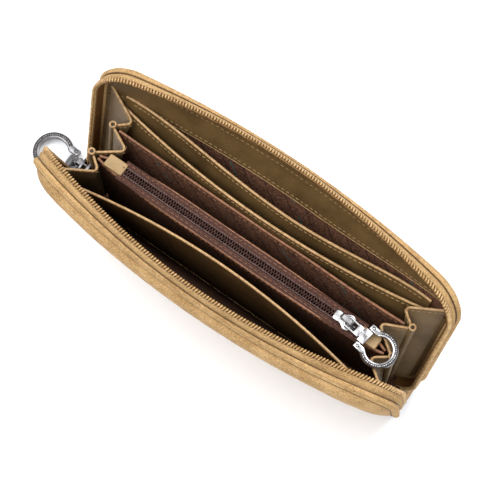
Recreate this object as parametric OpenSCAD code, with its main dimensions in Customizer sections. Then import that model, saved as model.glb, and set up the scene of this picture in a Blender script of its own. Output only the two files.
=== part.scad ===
// Zip-around clutch wallet standing open on its spine, mouth upwards.
// Millimetres. The origin is the centre of the spine's underside: +X runs along the
// spine, +Y points to the rear cover and +Z points up.

/* [Case] */
// Length of the case along its spine
case_len = 194; // [186:1:202]
// Height of each cover from the spine to its rim
case_h = 94; // [90:1:98]
// Radius of the covers' two top corners
corner_r = 18; // [14:1:22]
// Distance between the two cover hinges
spine_w = 22; // [22:1:26]
// How far the front rim bows outwards at mid length
front_bow = 12; // [6:0.5:14]
// How far the rear rim bows outwards at mid length
rear_bow = 9.5; // [6:0.5:12]
// Upward turn of the zip strip at mid length, in degrees
strip_flare = 52; // [20:1:60]

/* [Stance] */
// Lean of the front cover from upright, in degrees
front_lean = 10.5; // [8:0.5:12]
// Lean of the rear cover from upright, in degrees
rear_lean = 12.5; // [10:0.5:14]

/* [Pouch and divider] */
// Height of the zip pouch, the divider and the gusset loops
pouch_h = 66; // [60:1:70]
// Half the length between the gusset loops at the two ends
loop_x = 80; // [76:1:84]
// Place of the pouch slider along the zip
slider_x = 57; // [50:1:60]

/* [Pulls] */
// Sideways swing of the pouch pull, in degrees
pull_yaw = 9; // [0:1:9]
// Droop of the main pull below level, in degrees
pull_droop = 55; // [50:1:58]
// Size of the main pull compared with the pouch pull
main_k = 1.2; // [1.1:0.05:1.2]

/* [Hidden] */

FRONT = -1;
REAR = 1;

// Layers of a cover, as depths in from its outer face
glue = 0.2;      // glue line between two layers
skin_d = 1.6;    // suede outer panel
board_d = 2.4;   // stiffener behind it
lining_d = 3;    // lining glued on the stiffener
facing_d = 3.8;  // leather facing under the zip
piping_d = 3.2;
wall_d = [piping_d + glue, 7.2];
tape_d = [wall_d[1] + glue, 8.5];
coil_d = [tape_d[1] + glue, 10.2];
// Insets of the rim parts from the cover's outline
piping_w = 3.2;
wall_w = [1.6, 3];
tape_w = [1.9, 2.7];
coil_w = [1.2, 3.4];
// Heights up a cover where its parts start
panel_v = 2.6;
wall_v = 12;
coil_v = 15;
facing_v = 79;
pocket_v = 6;
// Slip pockets: top height, thickness, and how far the mouth hangs off the lining
upper_pocket = [76, 1, 9.5];
lower_pocket = [70, 1, 13.6];
front_pocket = [71, 1.1, 15.2];
pocket_gap = 0.4;
pocket_half = 82.5;
// Steps of the curved skins
len_steps = 20;
rise_steps = 8;
corner_steps = 6;

SUEDE = [0.78, 0.65, 0.45];
LEATHER = [0.38, 0.30, 0.18];
CLOTH = [0.37, 0.25, 0.21];
STEEL = [0.8, 0.8, 0.8];

function lean(side) = side == REAR ? rear_lean : front_lean;
function bow(side) = side == REAR ? rear_bow : front_bow;
// 1 at mid length, 0 at the two ends
function fullness(u) = max(0, 1 - pow(2 * u / case_len, 2));

// Point of a cover: u along the spine, v up from the hinge line, d in from the outer face
function cover_pt(side, u, v, d) = let(
    flare = strip_flare * fullness(u) * min(1, max(0, 2 * v / case_h - 1)),
    in_flare = max(0, d - skin_d),
    rise = v + in_flare * sin(flare),
    depth = min(d, skin_d) + in_flare * cos(flare),
    y = spine_w / 2 + rise * sin(lean(side)) - depth * cos(lean(side))
        + bow(side) * fullness(u) * pow(v / case_h, 1.3)
) [u, side * y, rise * cos(lean(side)) + depth * sin(lean(side))];

// Half the width of a cover at height v, inset by w from its outline
function half_width(v, w) = let(
    r = corner_r - w,
    over = max(0, v - (case_h - corner_r))
) case_len / 2 - corner_r + sqrt(max(0, r * r - over * over));

// Heights of a skin's rows, closer together round the top corners
function row_heights(v0, v1, w) = let(
    shoulder = case_h - corner_r,
    r = corner_r - w,
    straight_top = min(v1, shoulder)
) concat(
    v0 < shoulder ? [for (i = [0:rise_steps]) v0 + (straight_top - v0) * i / rise_steps] : [],
    v1 > shoulder ? [for (i = [v0 < shoulder ? 1 : 0:corner_steps])
        let(a0 = v0 < shoulder ? 0 : asin((v0 - shoulder) / r), a1 = asin(min(1, (v1 - shoulder) / r)))
        shoulder + r * sin(a0 + (a1 - a0) * i / corner_steps)] : []
);

// Grid over a cover at depth d
function cover_grid(side, v0, v1, w, d) = [
    for (v = row_heights(v0, v1, w)) let(half = half_width(v, w))
        [for (j = [-len_steps / 2:len_steps / 2]) cover_pt(side, half * 2 * j / len_steps, v, d)]
];

// Stations [u, v] up the left end, along the top and down the right end, inset by w
function rim_path(v0, w) = let(
    r = corner_r - w,
    cx = case_len / 2 - corner_r,
    cy = case_h - corner_r,
    left = concat(
        [for (i = [0:5]) [-cx - r, v0 + (cy - v0) * i / 5]],
        [for (i = [1:corner_steps]) let(a = 90 * i / corner_steps) [-cx - r * cos(a), cy + r * sin(a)]]
    ),
    n = len(left)
) concat(left, [for (i = [1:17]) [-cx + 2 * cx * i / 18, cy + r]],
    [for (i = [n - 1:-1:0]) [-left[i][0], left[i][1]]]);

function rim_grid(side, v0, w, d) = [
    for (p = rim_path(v0, w)) [for (depth = d) cover_pt(side, p[0], p[1], depth)]
];

// Closed solid between two grids of points of the same size
module between(a, b, flip = false) {
    n = len(a);
    m = len(a[0]);
    function id(s, i, j) = (s * n + i) * m + j;
    function quad(p, q, r, s) = [[p, q, r], [p, r, s]];
    faces = concat(
        [for (i = [0:n - 2]) for (j = [0:m - 2])
            each quad(id(0, i, j), id(0, i, j + 1), id(0, i + 1, j + 1), id(0, i + 1, j))],
        [for (i = [0:n - 2]) for (j = [0:m - 2])
            each quad(id(1, i, j), id(1, i + 1, j), id(1, i + 1, j + 1), id(1, i, j + 1))],
        [for (i = [0:n - 2]) each quad(id(0, i, 0), id(0, i + 1, 0), id(1, i + 1, 0), id(1, i, 0))],
        [for (i = [0:n - 2])
            each quad(id(0, i, m - 1), id(1, i, m - 1), id(1, i + 1, m - 1), id(0, i + 1, m - 1))],
        [for (j = [0:m - 2]) each quad(id(0, 0, j), id(1, 0, j), id(1, 0, j + 1), id(0, 0, j + 1))],
        [for (j = [0:m - 2])
            each quad(id(0, n - 1, j), id(0, n - 1, j + 1), id(1, n - 1, j + 1), id(1, n - 1, j))]
    );
    polyhedron(
        [for (g = [a, b]) for (row = g) for (p = row) p],
        [for (f = faces) flip ? [f[2], f[1], f[0]] : f]
    );
}

// Skin of a cover between depths d0 and d1
module cover_layer(side, v0, v1, w, d0, d1) {
    between(cover_grid(side, v0, v1, w, d0), cover_grid(side, v0, v1, w, d1), side == FRONT);
}

// Strip that follows the rim on three sides
module rim_strip(side, v0, w, d) {
    between(rim_grid(side, v0, w[0], d), rim_grid(side, v0, w[1], d), side == REAR);
}

// Slip pocket: sewn down at its foot and hanging off the lining at its mouth
module slip_pocket(side, size, foot_d) {
    top = size[0];
    thick = size[1];
    hang = size[2];
    function skin(extra) = [for (i = [0:rise_steps]) let(v = pocket_v + (top - pocket_v) * i / rise_steps)
        [for (j = [-len_steps / 2:len_steps / 2]) let(
            u = pocket_half * 2 * j / len_steps,
            fold = 1 - pow(2 * j / len_steps, 2),
            d = foot_d + extra + hang * fold * pow(v / top, 1.6),
            p = cover_pt(side, u, v, 0)
        ) [u, p[1] - side * d * cos(lean(side)), p[2] + d * sin(lean(side))]]];
    between(skin(0), skin(thick), side == FRONT);
}

// Upright panel: y_low at its foot, y_top at its mouth in mid length, y_end at its mouth at the ends
module upright_panel(z0, z1, y_low, y_top, y_end, thick) {
    function skin(extra) = [for (i = [0:rise_steps]) let(f = i / rise_steps)
        [for (j = [-len_steps / 2:len_steps / 2]) let(
            e = pow(abs(2 * j / len_steps), 5),
            y = y_low + (y_top + (y_end - y_top) * e - y_low) * f
        ) [(loop_x - 2) * 2 * j / len_steps, y + extra, z0 + (z1 - z0) * f]]];
    between(skin(thick), skin(0));
}

// Flat strip lying across the top of the pouch between two lines in y
module pouch_strip(x0, x1, y0, y1, thick) {
    translate([x0, y0, pouch_h - 0.4]) cube([x1 - x0, y1 - y0, thick]);
}

// Plan line of a gusset, thickened, as one point grid per side
function plan_shift(path, t) = [for (i = [0:len(path) - 1]) let(
    before = path[max(0, i - 1)],
    after = path[min(len(path) - 1, i + 1)],
    way = after - before,
    across = [-way[1], way[0]] / norm(way)
) path[i] + across * t];

module gusset_fold(side_x, low, high, z_low, z_high) {
    thick = 1;
    function skin(t) = [for (k = [0:4]) [for (i = [0:len(low) - 1])
        let(f = k / 4, p = plan_shift(low, t)[i] * (1 - f) + plan_shift(high, t)[i] * f)
        [side_x * p[0], p[1], z_low + (z_high[i] - z_low) * f]]];
    between(skin(thick / 2), skin(-thick / 2), side_x > 0);
}

// Plan points of one end's gusset, outwards positive in x: foot and mouth
pouch_y = -2.6;      // front loop
divider_y = 13.3;    // rear loop
gusset_foot_z = 7;
gusset_front_low = [[90, -8.1], [86, -5.6], [loop_x + 1.6, -3.2]];
gusset_front_high = [[90.5, -22.5], [74, -8.2], [loop_x + 0.4, pouch_y - 0.9]];
gusset_mid_low = [[loop_x + 1.6, -1.9], [loop_x + 0.4, 1.2], [loop_x + 1.6, 4]];
gusset_mid_high = [[loop_x + 0.6, pouch_y + 0.9], [69, 6.6], [loop_x + 0.6, divider_y - 0.8]];
gusset_rear_low = [[loop_x + 1.6, 5.4], [86, 6.6], [90, 8.3]];
gusset_rear_high = [[loop_x + 0.6, divider_y + 1], [74, 18.6], [90.5, 25.5]];

module gusset_front(side_x) {
    gusset_fold(side_x, gusset_front_low, gusset_front_high, gusset_foot_z, [76, 65.4, pouch_h - 0.4]);
}
module gusset_middle(side_x) {
    gusset_fold(side_x, gusset_mid_low, gusset_mid_high, gusset_foot_z, [pouch_h, 67, pouch_h]);
}
module gusset_rear(side_x) {
    gusset_fold(side_x, gusset_rear_low, gusset_rear_high, gusset_foot_z, [pouch_h, 69, 77]);
}

// Pull: origin on the bail axis, reaching out along +X, its hinges along Y
bail_r = 0.8;
bail_hole_r = 0.88;
pin_r = 0.7;
pin_hole_r = 0.76;
pin_x = 10.8;
ring_x = 19;
ring_r = [6.2, 8.1];
ring_t = 2.4;
lug_y = 5.2;
lug_w = 2.4;

module y_cylinder(r, length) {
    rotate([90, 0, 0]) cylinder(r = r, h = length, center = true, $fn = 32);
}

module pull_link() {
    y_cylinder(bail_r, 6.2);
    for (s = [-1, 1]) translate([-0.8, s * 2.6 - 0.5, -0.8]) cube([6, 1, 1.6]);
    translate([4.6, -3.1, -1.3]) cube([3.8, 6.2, 2.6]);
    translate([8.3, -1.6, -0.8]) cube([1, 3.2, 1.6]);
    difference() {
        translate([9.2, -3.4, -1.3]) cube([3.2, 6.8, 2.6]);
        translate([pin_x, 0, 0]) y_cylinder(pin_hole_r, 8);
    }
}

module cross_pin() {
    translate([pin_x, 0, 0]) y_cylinder(pin_r, 2 * lug_y + lug_w);
}

module shackle() {
    translate([ring_x, 0, 0]) difference() {
        rotate_extrude($fn = 64) translate([ring_r[0], -ring_t / 2]) square([ring_r[1] - ring_r[0], ring_t]);
        translate([-10, -8, -2]) cube([5, 16, 4]);
    }
    for (s = [-1, 1]) difference() {
        translate([pin_x - 1.4, s * lug_y - lug_w / 2, -lug_w / 2]) cube([4.9, lug_w, lug_w]);
        translate([pin_x, s * lug_y, 0]) y_cylinder(pin_r, lug_w + 1);
    }
}

// Slider: origin on the bail axis, its two plates straddle a coil that runs along X
plate_t = 1.2;
plate_drop = 1.5;  // bail axis above the top plate's upper face
throat = 2;        // clear height between the plates
// turn is how far the bail's bridge is swung on the slider
module slider(turn = 0) {
    top = -plate_drop;
    outline = [[-6, -2.2], [-5, -3], [0, -3.4], [3, -4.6], [4.4, -4.6], [5, -3.6],
               [5, 3.6], [4.4, 4.6], [3, 4.6], [0, 3.4], [-5, 3], [-6, 2.2]];
    translate([0, 0, top - plate_t]) linear_extrude(plate_t) polygon(outline);
    translate([-5, -2.6, top - 2 * plate_t - throat]) cube([9.4, 5.2, plate_t]);
    translate([1.5, -0.2, top - plate_t - throat]) cube([3, 0.4, throat]);
    rotate([0, 0, -turn]) difference() {
        translate([-2.6, -1.1, top]) cube([5.2, 2.2, plate_drop + 1.7]);
        y_cylinder(bail_hole_r, 4);
    }
}

// Places of the two pulls
slider_z = pouch_h + 4.05;
slider_y = -1.4;
main_bail = [-99.2, 2, 13.9];

module place_inner() {
    translate([slider_x, slider_y, slider_z]) rotate([0, 0, -pull_yaw]) children();
}
module place_main_slider() {
    translate(main_bail) rotate([0, -90, 0]) scale(main_k) children();
}
module place_main_pull() {
    translate(main_bail) rotate([0, -pull_droop, 0]) rotate([0, 0, 180]) scale(main_k) children();
}
// The main shackle lies level while its pull droops
module place_main_shackle() {
    place_main_pull() translate([pin_x, 0, 0]) rotate([0, -pull_droop, 0]) translate([-pin_x, 0, 0])
        children();
}

module front_cover_panel() color(SUEDE) cover_layer(FRONT, panel_v, case_h, 0, 0, skin_d);
module front_rim_piping() color(SUEDE) rim_strip(FRONT, panel_v, [0, piping_w], [skin_d + glue, piping_d]);
module front_stiffener() color("tan") cover_layer(FRONT, panel_v, case_h - 3.5, 3.5, skin_d + glue, board_d);
module front_lining() color(CLOTH) cover_layer(FRONT, panel_v, case_h - 3.8, 3.8, board_d + glue, lining_d);
module front_side_wall() color(SUEDE) rim_strip(FRONT, wall_v, wall_w, wall_d);
module front_zip_tape() color(SUEDE) rim_strip(FRONT, wall_v, tape_w, tape_d);
module front_zip_coil() color("gold") rim_strip(FRONT, coil_v, coil_w, coil_d);
module front_facing() color(LEATHER) cover_layer(FRONT, facing_v, case_h - 4, 4, lining_d + glue, facing_d);
module front_slip_pocket() color(LEATHER) slip_pocket(FRONT, front_pocket, lining_d + pocket_gap);

module rear_cover_panel() color(SUEDE) cover_layer(REAR, panel_v, case_h, 0, 0, skin_d);
module rear_rim_piping() color(SUEDE) rim_strip(REAR, panel_v, [0, piping_w], [skin_d + glue, piping_d]);
module rear_stiffener() color("tan") cover_layer(REAR, panel_v, case_h - 3.5, 3.5, skin_d + glue, board_d);
module rear_lining() color(CLOTH) cover_layer(REAR, panel_v, case_h - 3.8, 3.8, board_d + glue, lining_d);
module rear_side_wall() color(SUEDE) rim_strip(REAR, wall_v, wall_w, wall_d);
module rear_zip_tape() color(SUEDE) rim_strip(REAR, wall_v, tape_w, tape_d);
module rear_zip_coil() color("gold") rim_strip(REAR, coil_v, coil_w, coil_d);
module rear_facing() color(LEATHER) cover_layer(REAR, facing_v, case_h - 4, 4, lining_d + glue, facing_d);
module rear_pocket_upper() color(LEATHER) slip_pocket(REAR, upper_pocket, lining_d + pocket_gap);
module rear_pocket_lower() color(LEATHER)
    slip_pocket(REAR, lower_pocket, lining_d + 2 * pocket_gap + upper_pocket[1]);

// Spine: a suede strip under a board and its lining, with rounded long edges
module spine_panel() color(SUEDE)
    translate([-case_len / 2, 0, 0]) rotate([90, 0, 90]) linear_extrude(case_len) difference() {
        union() {
            translate([-spine_w / 2 + 1, 0]) square([spine_w - 2, 1.6]);
            for (s = [-1, 1]) translate([s * (spine_w / 2 - 1), 1]) circle(r = 1, $fn = 24);
        }
        translate([-spine_w / 2, 1.6]) square([spine_w, 2]);
    }
module spine_board() color("tan") translate([-92, -7, 1.6]) cube([184, 14, 0.8]);
module spine_lining() color(CLOTH) translate([-92, -7, 2.4]) cube([184, 14, 0.6]);

module divider() color(CLOTH) upright_panel(4, pouch_h, 3.6, divider_y - 1.5, divider_y - 0.6, 0.8);
module pouch_front_wall() color(CLOTH) upright_panel(4, pouch_h - 0.6, -2.4, -6.8, pouch_y - 1, 0.8);
module pouch_rear_wall() color(CLOTH) upright_panel(4, pouch_h - 0.6, 0.2, 3.4, pouch_y + 0.4, 0.8);
module pouch_tape_front() color(CLOTH) pouch_strip(-66, 66, -6.4, -3.2, 0.7);
module pouch_tape_rear() color(CLOTH) pouch_strip(-66, 66, 0.4, 3.6, 0.7);
module pouch_coil_front() color("dimgray") pouch_strip(-66, 66, -3.2, -1.8, 1.5);
module pouch_coil_rear() color("dimgray") pouch_strip(-66, 66, -1, 0.4, 1.5);
module pouch_tab_left() color(SUEDE) pouch_strip(-74, -66.2, -5.6, 2.6, 1.4);
module pouch_tab_right() color(SUEDE) pouch_strip(66.2, 74, -5.6, 2.6, 1.4);

module gusset_left_front() color(LEATHER) gusset_front(-1);
module gusset_left_middle() color(LEATHER) gusset_middle(-1);
module gusset_left_rear() color(LEATHER) gusset_rear(-1);
module gusset_right_front() color(LEATHER) gusset_front(1);
module gusset_right_middle() color(LEATHER) gusset_middle(1);
module gusset_right_rear() color(LEATHER) gusset_rear(1);

// Folded tape ends that close the zip's two ends at the spine
module zip_end(side_x) {
    translate([side_x * 93.6, -4, 3]) translate([-0.9, 0, 0]) cube([1.8, 8, 1.6]);
}
module zip_end_left() color(SUEDE) zip_end(-1);
module zip_end_right() color(SUEDE) zip_end(1);

module inner_slider() color(STEEL) translate([slider_x, slider_y, slider_z]) slider(pull_yaw);
module inner_pull() color(STEEL) place_inner() pull_link();
module inner_cross_pin() color(STEEL) place_inner() cross_pin();
module inner_shackle() color(STEEL) place_inner() shackle();
module main_slider() color("slategray") place_main_slider() slider();
module main_pull() color("slategray") place_main_pull() pull_link();
module main_cross_pin() color("slategray") place_main_shackle() cross_pin();
module main_shackle() color("slategray") place_main_shackle() shackle();

front_cover_panel();
front_rim_piping();
front_stiffener();
front_lining();
front_side_wall();
front_zip_tape();
front_zip_coil();
front_facing();
front_slip_pocket();
rear_cover_panel();
rear_rim_piping();
rear_stiffener();
rear_lining();
rear_side_wall();
rear_zip_tape();
rear_zip_coil();
rear_facing();
rear_pocket_upper();
rear_pocket_lower();
spine_panel();
spine_board();
spine_lining();
divider();
pouch_front_wall();
pouch_rear_wall();
pouch_tape_front();
pouch_tape_rear();
pouch_coil_front();
pouch_coil_rear();
pouch_tab_left();
pouch_tab_right();
gusset_left_front();
gusset_left_middle();
gusset_left_rear();
gusset_right_front();
gusset_right_middle();
gusset_right_rear();
zip_end_left();
zip_end_right();
inner_slider();
inner_pull();
inner_cross_pin();
inner_shackle();
main_slider();
main_pull();
main_cross_pin();
main_shackle();
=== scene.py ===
"""Finished look of a zip-around clutch wallet that stands open on its spine.

Sizes are in millimetres in the classes below and in metres in Blender. The frame is the CAD
model's: +X along the spine, +Y to the rear cover, +Z up, origin under the spine's centre.
"""

from __future__ import annotations

import logging
import math
from dataclasses import dataclass, field
from enum import Enum
from functools import partial
from typing import Callable, Sequence, Union

import bmesh
import bpy
from mathutils import Matrix, Vector, noise


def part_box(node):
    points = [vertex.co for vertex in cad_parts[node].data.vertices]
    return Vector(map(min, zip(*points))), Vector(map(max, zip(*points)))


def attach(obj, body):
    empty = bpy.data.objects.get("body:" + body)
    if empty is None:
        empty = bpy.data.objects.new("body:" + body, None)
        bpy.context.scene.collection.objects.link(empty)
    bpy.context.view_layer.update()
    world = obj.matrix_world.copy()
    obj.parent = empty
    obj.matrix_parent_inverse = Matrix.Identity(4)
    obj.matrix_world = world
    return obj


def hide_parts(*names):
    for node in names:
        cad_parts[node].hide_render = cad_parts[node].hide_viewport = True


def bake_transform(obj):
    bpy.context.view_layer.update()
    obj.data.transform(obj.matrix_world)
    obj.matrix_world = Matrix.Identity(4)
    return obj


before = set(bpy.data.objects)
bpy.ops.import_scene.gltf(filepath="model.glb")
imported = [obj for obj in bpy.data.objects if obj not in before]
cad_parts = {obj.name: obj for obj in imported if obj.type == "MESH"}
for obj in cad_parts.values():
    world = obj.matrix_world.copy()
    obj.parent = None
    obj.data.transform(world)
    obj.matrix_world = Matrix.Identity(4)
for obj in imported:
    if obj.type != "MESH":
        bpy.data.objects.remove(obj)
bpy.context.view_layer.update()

LOG = logging.getLogger("wallet")
MM = 0.001
Colour = tuple[float, float, float, float]
Point2 = tuple[float, float]
Rows = list[list[Vector]]


# --------------------------------------------------------------------------- shader graph
def srgb(red: float, green: float, blue: float) -> Colour:
    """Linear colour of an 8-bit sRGB one.

    Args:
        red, green, blue: channels from 0 to 255.

    Returns:
        The linear colour with full alpha.
    """
    def linear(c: float) -> float:
        """Linear value of one channel."""
        c /= 255
        return c / 12.92 if c <= 0.04045 else ((c + 0.055) / 1.055) ** 2.4
    return (linear(red), linear(green), linear(blue), 1.0)


class Wire:
    """A node's output socket that takes Python arithmetic and adds Math nodes for it."""

    def __init__(self, graph: "Graph", socket: bpy.types.NodeSocket) -> None:
        """Keep the graph and its socket."""
        self.graph = graph
        self.socket = socket

    def _math(self, operation: str, first: "Operand", second: "Operand") -> "Wire":
        """Add one Math node.

        Args:
            operation: the Math node's operation.
            first, second: its two operands.

        Returns:
            The node's value.
        """
        return self.graph.node("ShaderNodeMath", {"operation": operation}, {0: first, 1: second})

    def __add__(self, other: "Operand") -> "Wire":
        """Sum."""
        return self._math("ADD", self, other)

    def __sub__(self, other: "Operand") -> "Wire":
        """Difference."""
        return self._math("SUBTRACT", self, other)

    def __rsub__(self, other: "Operand") -> "Wire":
        """Difference from a number."""
        return self._math("SUBTRACT", other, self)

    def __mul__(self, other: "Operand") -> "Wire":
        """Product."""
        return self._math("MULTIPLY", self, other)

    def __gt__(self, other: "Operand") -> "Wire":
        """1 where this is greater, else 0."""
        return self._math("GREATER_THAN", self, other)

    def fract(self) -> "Wire":
        """Fractional part."""
        return self._math("FRACT", self, 0.0)

    def sine(self) -> "Wire":
        """Sine of an angle in radians."""
        return self._math("SINE", self, 0.0)

    __radd__ = __add__
    __rmul__ = __mul__


Operand = Union[Wire, float]


class Graph:
    """The node tree of one material around a Principled shader."""

    def __init__(self, name: str) -> None:
        """Make the material and keep its tree and shader."""
        self.material = bpy.data.materials.new(name + "_finish")
        self.material.use_nodes = True
        self.tree = self.material.node_tree
        self.shader = self.tree.nodes["Principled BSDF"]

    def node(self, kind: str, settings: dict | None = None, sockets: dict | None = None,
             output: int | str = 0) -> Wire:
        """Add a node.

        Args:
            kind: the node's type.
            settings: its properties; "stops" holds a ramp's (position, colour) pairs.
            sockets: values or wires of its inputs, by name or index.
            output: the output to return, by name or index.

        Returns:
            That output.
        """
        made = self.tree.nodes.new(kind)
        for key, value in (settings or {}).items():
            if key == "stops":
                self._stops(made.color_ramp, value)
            else:
                setattr(made, key, value)
        self._feed(made, sockets or {})
        return Wire(self, made.outputs[output])

    @staticmethod
    def _stops(ramp: bpy.types.ColorRamp, stops: Sequence[tuple[float, Colour]]) -> None:
        """Set a colour ramp's stops."""
        while len(ramp.elements) < len(stops):
            ramp.elements.new(1.0)
        for element, (position, colour) in zip(ramp.elements, stops):
            element.position = position
            element.color = colour

    def _feed(self, made: bpy.types.Node, sockets: dict) -> None:
        """Set or link a node's inputs."""
        for key, value in sockets.items():
            if isinstance(value, Wire):
                self.tree.links.new(value.socket, made.inputs[key])
            else:
                made.inputs[key].default_value = value

    def place(self, scale: Sequence[float] = (1, 1, 1), turn: Sequence[float] = (0, 0, 0)) -> Wire:
        """Object coordinates, in units of a millimetre.

        Args:
            scale: extra scale along each axis.
            turn: rotation in degrees about each axis.

        Returns:
            The coordinates.
        """
        here = self.node("ShaderNodeTexCoord", output="Object")
        return self.node("ShaderNodeMapping", {}, {
            "Vector": here, "Scale": [s / MM for s in scale],
            "Rotation": [math.radians(t) for t in turn]})

    def noise(self, size: float, detail: float = 2.0, where: Wire | None = None) -> Wire:
        """Noise whose features are about size millimetres across, from 0 to 1."""
        return self.node("ShaderNodeTexNoise", {}, {
            "Vector": where or self.place(), "Scale": 1 / size, "Detail": detail,
            "Roughness": 0.55})

    def axis(self, index: int, where: Wire | None = None) -> Wire:
        """One coordinate in millimetres: 0 is X, 1 is Y, 2 is Z."""
        return self.node("ShaderNodeSeparateXYZ", {}, {0: where or self.place()}, index)

    def ramp(self, factor: Wire, *stops: tuple[float, Colour]) -> Wire:
        """Colour ramp over a factor."""
        return self.node("ShaderNodeValToRGB", {"stops": stops}, {0: factor})

    def mix(self, factor: Operand, first: "Wire | Colour", second: "Wire | Colour") -> Wire:
        """Mix of two colours."""
        return self.node("ShaderNodeMix", {"data_type": "RGBA"}, {0: factor, 6: first, 7: second}, 2)

    def bump(self, height: Wire, depth: float, strength: float = 1.0,
             below: Wire | None = None) -> Wire:
        """Bump of a height from 0 to 1.

        Args:
            height: the height.
            depth: how many millimetres a height of 1 stands for.
            strength: share of the bump that shows.
            below: a coarser bump under it.

        Returns:
            The normal.
        """
        sockets = {"Height": height, "Distance": depth * MM, "Strength": strength}
        if below is not None:
            sockets["Normal"] = below
        return self.node("ShaderNodeBump", {}, sockets)

    def finish(self, **inputs: object) -> bpy.types.Material:
        """Set the shader's inputs, named with underscores for spaces.

        Args:
            inputs: a value or a wire for each input.

        Returns:
            The material.
        """
        self._feed(self.shader, {key.replace("_", " "): v for key, v in inputs.items()})
        return self.material


# --------------------------------------------------------------------------- finishes
@dataclass(frozen=True)
class Suede:
    """Brushed suede: a soft nap with light and dark patches."""

    name: str = "tan_suede"
    dark: Colour = srgb(142, 108, 66)
    light: Colour = srgb(204, 170, 122)

    def make(self) -> bpy.types.Material:
        """Build the material."""
        g = Graph(self.name)
        patches = g.noise(9.0, 3.0)
        nap = g.noise(0.75, 5.0)
        fibre = g.noise(0.22, 2.0, g.place((1.0, 1.0, 0.35)))
        tone = patches * 0.35 + nap * 0.6 + fibre * 0.25
        colour = g.ramp(tone, (0.44, self.dark), (0.74, self.light))
        normal = g.bump(fibre, 0.16, 1.0, g.bump(nap, 0.42, 1.0, g.bump(patches, 0.6, 0.6)))
        return g.finish(Base_Color=colour, Normal=normal, Roughness=0.95, Sheen_Weight=0.12,
                        Sheen_Roughness=0.5, Sheen_Tint=srgb(226, 200, 160),
                        Specular_IOR_Level=0.12)


@dataclass(frozen=True)
class Leather:
    """Fine-grained leather."""

    name: str = "olive_leather"
    dark: Colour = srgb(74, 55, 30)
    light: Colour = srgb(120, 94, 56)
    roughness: float = 0.5
    grain: float = 0.9

    def make(self) -> bpy.types.Material:
        """Build the material."""
        g = Graph(self.name)
        cells = g.node("ShaderNodeTexVoronoi", {"feature": "DISTANCE_TO_EDGE"},
                       {"Vector": g.place(), "Scale": 1 / self.grain}, "Distance")
        creases = g.ramp(cells, (0.0, (0, 0, 0, 1)), (0.16, (1, 1, 1, 1)))
        cloud = g.noise(14.0, 3.0)
        fine = g.noise(0.35, 3.0)
        colour = g.ramp(cloud * 0.6 + fine * 0.4, (0.3, self.dark), (0.72, self.light))
        normal = g.bump(fine, 0.05, 0.6, g.bump(creases, 0.07, 0.55))
        rough = g.noise(6.0, 2.0) * 0.2 + (self.roughness - 0.1)
        return g.finish(Base_Color=colour, Normal=normal, Roughness=rough,
                        Specular_IOR_Level=0.35)


@dataclass(frozen=True)
class Jacquard:
    """Woven lining with fine diagonal rules."""

    name: str = "brown_jacquard"
    ground: Colour = srgb(66, 44, 33)
    raised: Colour = srgb(124, 86, 66)
    rule: Colour = srgb(26, 20, 20)
    accent: Colour = srgb(28, 104, 104)
    period: float = 9.0
    thread: float = 0.55

    def make(self) -> bpy.types.Material:
        """Build the material."""
        g = Graph(self.name)
        where = g.place(turn=(0, 38, 0))
        along = g.axis(0, where)
        turn = 2 * math.pi / self.thread
        weft = (g.axis(2) * turn).sine() * 0.5 + 0.5
        warp = (g.axis(0) * turn).sine() * 0.5 + 0.5
        weave = warp * 0.5 + weft * 0.5
        stripe = (along * (1 / self.period)).fract()
        dark_rule = (stripe > 0.948) * 0.85
        fleck = (g.noise(7.0, 1.0) > 0.52) * 0.7
        teal_rule = ((along * (1 / (3 * self.period)) + 0.21).fract() > 0.975) * fleck
        cloud = g.noise(1.1, 4.0)
        cloth = g.ramp(cloud * 0.85 + weave * 0.15, (0.38, self.ground), (0.66, self.raised))
        colour = g.mix(teal_rule, g.mix(dark_rule, cloth, self.rule), self.accent)
        return g.finish(Base_Color=colour, Normal=g.bump(weave, 0.05, 0.6), Roughness=0.7,
                        Specular_IOR_Level=0.2)


@dataclass(frozen=True)
class Webbing:
    """Woven zip tape with ribs along it and a fine twill across them."""

    name: str
    dark: Colour
    light: Colour
    rib: float = 0.8

    def make(self) -> bpy.types.Material:
        """Build the material."""
        g = Graph(self.name)
        ribs = (g.axis(1) * (2 * math.pi / self.rib)).sine() * 0.5 + 0.5
        twill = ((g.axis(0) + g.axis(2)) * (2 * math.pi / 0.5)).sine() * 0.5 + 0.5
        cloud = g.noise(3.0, 3.0)
        tone = cloud * 0.4 + twill * 0.3 + ribs * 0.3
        colour = g.ramp(tone, (0.25, self.dark), (0.8, self.light))
        return g.finish(Base_Color=colour, Normal=g.bump(ribs * 0.6 + twill * 0.4, 0.12, 0.8),
                        Roughness=0.85, Specular_IOR_Level=0.2)


@dataclass(frozen=True)
class Satin:
    """Coil filament, edge paint or thread: one tone with slight mottling."""

    name: str
    dark: Colour
    light: Colour
    roughness: float = 0.4
    mottle: float = 1.6
    depth: float = 0.05

    def make(self) -> bpy.types.Material:
        """Build the material."""
        g = Graph(self.name)
        cloud = g.noise(self.mottle, 3.0)
        colour = g.ramp(cloud, (0.3, self.dark), (0.7, self.light))
        return g.finish(Base_Color=colour, Normal=g.bump(g.noise(0.3, 2.0), self.depth, 0.7),
                        Roughness=cloud * 0.2 + (self.roughness - 0.1), Coat_Weight=0.08)


@dataclass(frozen=True)
class Metal:
    """Plated metal with faint wear."""

    name: str
    dark: Colour
    light: Colour
    roughness: float
    pitting: float

    def make(self) -> bpy.types.Material:
        """Build the material."""
        g = Graph(self.name)
        cloud = g.noise(2.5, 4.0)
        colour = g.ramp(cloud, (0.2, self.dark), (0.75, self.light))
        return g.finish(Base_Color=colour, Metallic=1.0,
                        Normal=g.bump(g.noise(0.4, 3.0), self.pitting, 0.6),
                        Roughness=cloud * 0.16 + (self.roughness - 0.08))


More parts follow.
